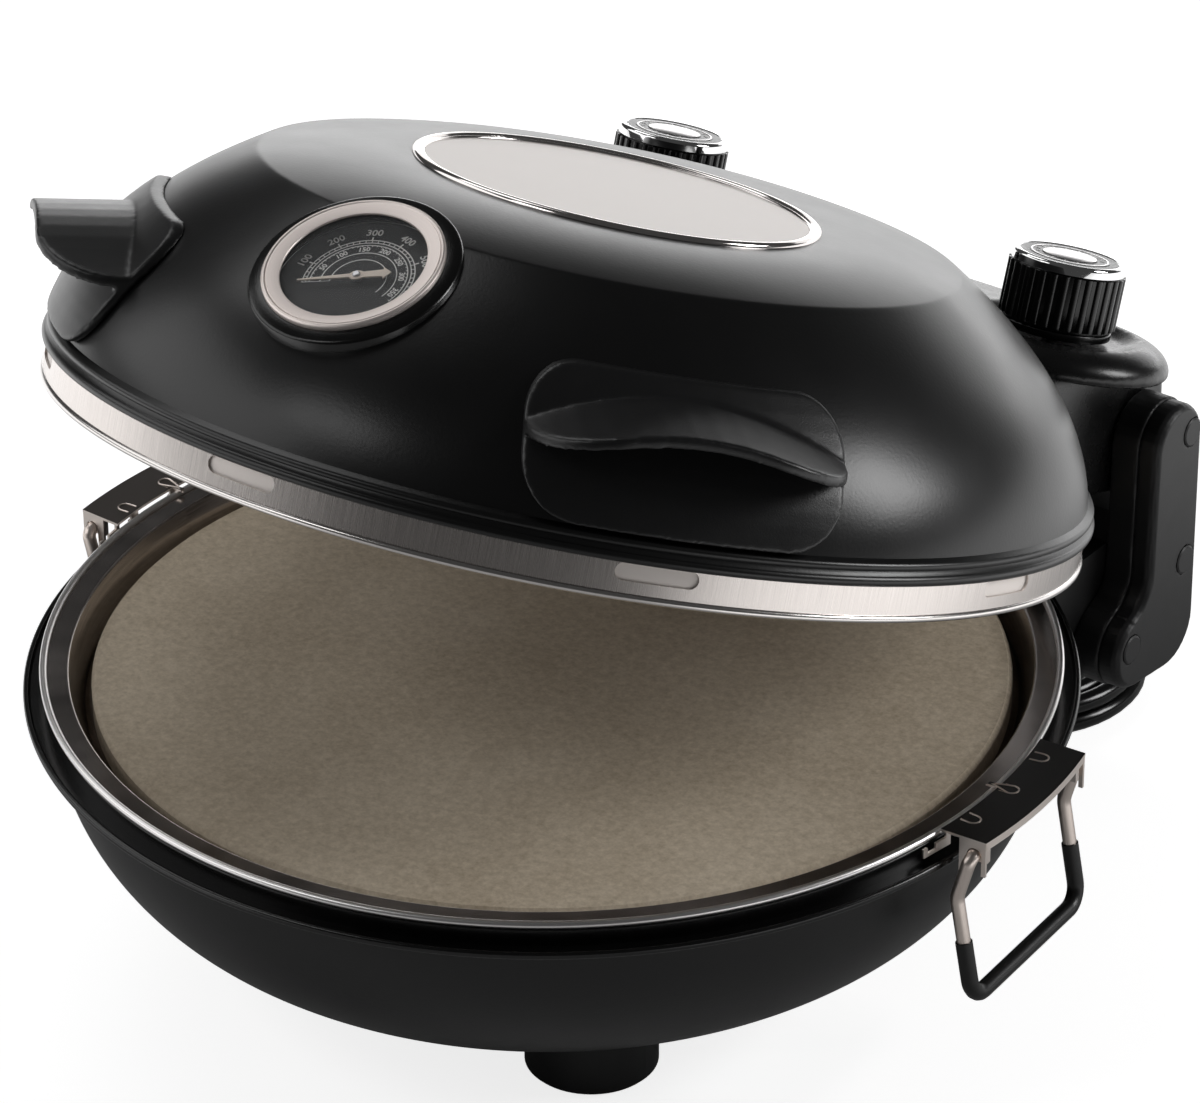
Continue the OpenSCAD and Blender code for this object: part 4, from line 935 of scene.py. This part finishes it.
def tick(work, inner, outer, angle, half=0.5):
    ring_print(work, inner, outer, angle + half, angle - half)


def figure(work, text, size, radius, angle):
    """A number standing on the scale, read from the outside."""
    curve = bpy.data.curves.new("figure", "FONT")
    curve.body = text
    curve.size = size * MM
    curve.offset = 0.07 * MM
    curve.extrude = 0.025 * MM
    curve.align_x, curve.align_y = "CENTER", "CENTER"
    curve.resolution_u = 3
    mesh = evaluated_mesh(in_scene("figure", curve))
    spot = Matrix.Translation((radius * MM, 0, (DIAL_Z + 0.05) * MM))
    turn = Matrix.Rotation(math.radians(angle), 4, "Z") @ spot
    mesh.transform(turn @ Matrix.Rotation(math.radians(-90), 4, "Z"))
    work.from_mesh(mesh)


def dial_print():
    """Two scales with generic figures between printed arcs."""
    work = bmesh.new()
    for inner, outer in PRINTED_ARCS:
        ring_print(work, inner, outer, SCALE_START, SCALE_END)
    for k in range(len(OUTER_FIGURES)):
        tick(work, 17.9, 19.3, FIRST_FIGURE - OUTER_GAP * k, 0.8)
    for inner, outer, first, gap, count in ((16.7, 17.8, 178, 6.64, 34), (15.0, 15.6, 177, 5.9, 38)):
        for k in range(count):
            angle = first - gap * k
            if angle > SCALE_END:
                tick(work, inner, outer, angle)
    tick(work, 8.9, 18.0, SCALE_START)
    for k, text in enumerate(OUTER_FIGURES):
        figure(work, text, 3.7, 21.2, FIRST_FIGURE - OUTER_GAP * k)
    for k, text in enumerate(INNER_FIGURES):
        figure(work, text, 2.6, 13.7, FIRST_FIGURE - INNER_GAP * k)
    ring_print(work, 26.3, 26.45, 0, 357)
    mesh = outward_mesh("dial_print", work)
    mesh.transform(DIAL)
    piece_from("dial_print", mesh, dial_white, "lid", (), False)


thermometer()
dial_print()


# ---------------------------------------------------------------- bowl and pan
# The bowl's side is a quarter of a rounded square, in mm: from its foot's radius it spreads outwards,
# and from its top it goes down.
BOWL_FOOT, BOWL_SPREAD, BOWL_TOP, BOWL_DEPTH, BOWL_POWER = 86, 80.7, -2.7, 75, 2.1
BOWL_STEPS, SHEET = 48, 1.2


def bowl_side(inset):
    line = []
    for k in range(BOWL_STEPS + 1):
        t = math.pi / 2 * k / BOWL_STEPS
        line.append((BOWL_FOOT - inset + BOWL_SPREAD * math.cos(t) ** (2 / BOWL_POWER),
                     BOWL_TOP - (BOWL_DEPTH - inset) * math.sin(t) ** (2 / BOWL_POWER)))
    return line


def bowl():
    floor = [(0, BOWL_TOP - BOWL_DEPTH), (0, BOWL_TOP - BOWL_DEPTH + SHEET)]
    profile = bowl_side(0) + floor + bowl_side(SHEET)[::-1]
    turned("bowl", profile, BASE, bowl_paint, "base", ROUND, ["base_bowl"])


def lip():
    profile = [(163.4, -9), (164.8, -9), (164.8, -2.7)] + arc((173.9, -1.6), 1.1, -90, 0, 8)
    profile += arc((173.9, -1.1), 1.1, 0, 150, 10) + [(172.6, -1.5), (168.4, -1.5), (168.4, 3.8)]
    profile += arc((167.9, 3.8), 0.5, 0, 90, 4) + [(166.6, 4.3), (166.6, -1.2), (163.4, -1.2)]
    turned("lip", profile, BASE, rim_black, "base", ROUND, ["base_rim"])


def lift_out_pan():
    inner = [(0, -9.2)] + arc((152.6, -6.5), 2.7, -90, -16, 6) + arc((160.6, 4.6), 1.1, 164, 90, 5) + [(168, 5.7)]
    outer = [(168, 4.9), (160.5, 4.9)] + arc((152.6, -6.5), 3.5, -16, -90, 6) + [(0, -10)]
    turned("lift_out_pan", inner + outer, BASE, pan_steel, "pan", ROUND, ["pan"])
    # The bead's lighter steel is a painted highlight.
    turned("pan_bead", arc((168.1, 6), 1.3, 0, 345, 23), BASE, bead_steel, "pan", ROUND)


bowl()
lip()
lift_out_pan()


# ---------------------------------------------------------------- floor, light
LIT_POINT = Vector((0, 0, 0.2))

# Name, azimuth, elevation, distance, width, height and radiance of each soft box.
SOFT_BOXES = (
    ("back_box", -20, 4.5, 2.6, 3.0, 0.84, 1.1),
    ("back_strip", -24, -2.2, 2.5, 2.7, 0.2, 2.2),
    ("right_box", 57, 24, 2.0, 0.66, 0.75, 10.5),
    ("left_box", -122, 24, 2.2, 2.5, 1.2, 1.3),
    ("front_box", -155, 44, 2.2, 0.75, 0.5, 2.6),
    ("dial_box", -72, 52, 2.0, 1.0, 1.0, 1.7),
)

# The glow that the table gives the object is painted: nothing within the first distance in metres, a painted
# shadow, all beyond the second, and little in a sector whose middle is FRONT, painted shade where nothing lies.
SHADE_FROM, SHADE_TO, FULL_GLOW, SEEN_GLOW = 0.3, 0.6, 0.95, 0.8
FRONT = (0.375, -0.927, 0)
SECTOR_EDGE, SECTOR_CORE, SECTOR_GLOW = 0.7, 0.92, 0.06


def smooth_step(material, value, start, end, low, high):
    made = add(material, "ShaderNodeMapRange", interpolation_type="SMOOTHSTEP")
    link(material, value, made.inputs["Value"])
    made.inputs["From Min"].default_value, made.inputs["From Max"].default_value = start, end
    made.inputs["To Min"].default_value, made.inputs["To Max"].default_value = low, high
    return made.outputs["Result"]


def card(name, azimuth, elevation, distance, width, height, radiance):
    """A soft box that faces the object; azimuth runs in degrees from the back towards the right, and
    sizes are in metres."""
    data = bpy.data.lights.new(name, "AREA")
    data.shape = "RECTANGLE"
    data.size, data.size_y = width, height
    data.energy = radiance * math.pi * width * height
    lamp = in_scene(name, data)
    a, e = math.radians(azimuth), math.radians(elevation)
    away = Vector((math.sin(a) * math.cos(e), math.cos(a) * math.cos(e), math.sin(e)))
    turn = away.to_track_quat("Z", "Y").to_matrix().to_4x4()
    lamp.matrix_world = Matrix.Translation(LIT_POINT + away * distance) @ turn
    lamp.visible_camera = False


def pale_table():
    """White to the eye; the glow it gives the object is painted: a painted shadow round the object that fades
    outwards, and painted shade in a sector in front.
    """
    made = finish("pale_table", (0.7, 0.7, 0.7), 0.9, Emission_Color=(1, 1, 1, 1))
    length = add(made, "ShaderNodeVectorMath", operation="LENGTH")
    link(made, where(made), length.inputs[0])
    # Painted shadow: no glow close to the object, full glow further out.
    glow = smooth_step(made, length.outputs["Value"], SHADE_FROM, SHADE_TO, 0.0, FULL_GLOW)
    heading = add(made, "ShaderNodeVectorMath", operation="NORMALIZE")
    link(made, where(made), heading.inputs[0])
    frontwards = add(made, "ShaderNodeVectorMath", operation="DOT_PRODUCT")
    link(made, heading.outputs["Vector"], frontwards.inputs[0])
    frontwards.inputs[1].default_value = FRONT
    # Painted shade: little glow in the sector in front.
    front_painted_shade = smooth_step(made, frontwards.outputs["Value"], SECTOR_EDGE, SECTOR_CORE, 1.0, SECTOR_GLOW)
    painted_glow = add(made, "ShaderNodeMath", operation="MULTIPLY")
    link(made, glow, painted_glow.inputs[0])
    link(made, front_painted_shade, painted_glow.inputs[1])
    seen = add(made, "ShaderNodeLightPath").outputs["Is Camera Ray"]
    strength = add(made, "ShaderNodeMix", data_type="FLOAT")
    link(made, seen, strength.inputs["Factor"])
    link(made, painted_glow.outputs["Value"], strength.inputs["A"])
    strength.inputs["B"].default_value = SEEN_GLOW
    link(made, strength.outputs["Result"], shader_of(made).inputs["Emission Strength"])
    return made


def studio():
    mesh = bpy.data.meshes.new("floor")
    mesh.from_pydata([(-5, -5, 0), (5, -5, 0), (5, 5, 0), (-5, 5, 0)], [], [(0, 1, 2, 3)])
    mesh.materials.append(pale_table())
    in_scene("floor", mesh)
    world = bpy.data.worlds.new("studio")
    world.use_nodes = True
    bpy.context.scene.world = world
    nodes, links = world.node_tree.nodes, world.node_tree.links
    seen, lit = nodes["Background"], nodes.new("ShaderNodeBackground")
    for background, strength in ((seen, 1.0), (lit, 0.05)):
        background.inputs["Color"].default_value = (1, 1, 1, 1)
        background.inputs["Strength"].default_value = strength
    ray = nodes.new("ShaderNodeLightPath")
    mix = nodes.new("ShaderNodeMixShader")
    links.new(ray.outputs["Is Camera Ray"], mix.inputs["Fac"])
    links.new(lit.outputs["Background"], mix.inputs[1])
    links.new(seen.outputs["Background"], mix.inputs[2])
    links.new(mix.outputs["Shader"], nodes["World Output"].inputs["Surface"])
    for soft_box in SOFT_BOXES:
        card(*soft_box)
    bpy.context.scene.view_settings.view_transform = "Standard"


studio()
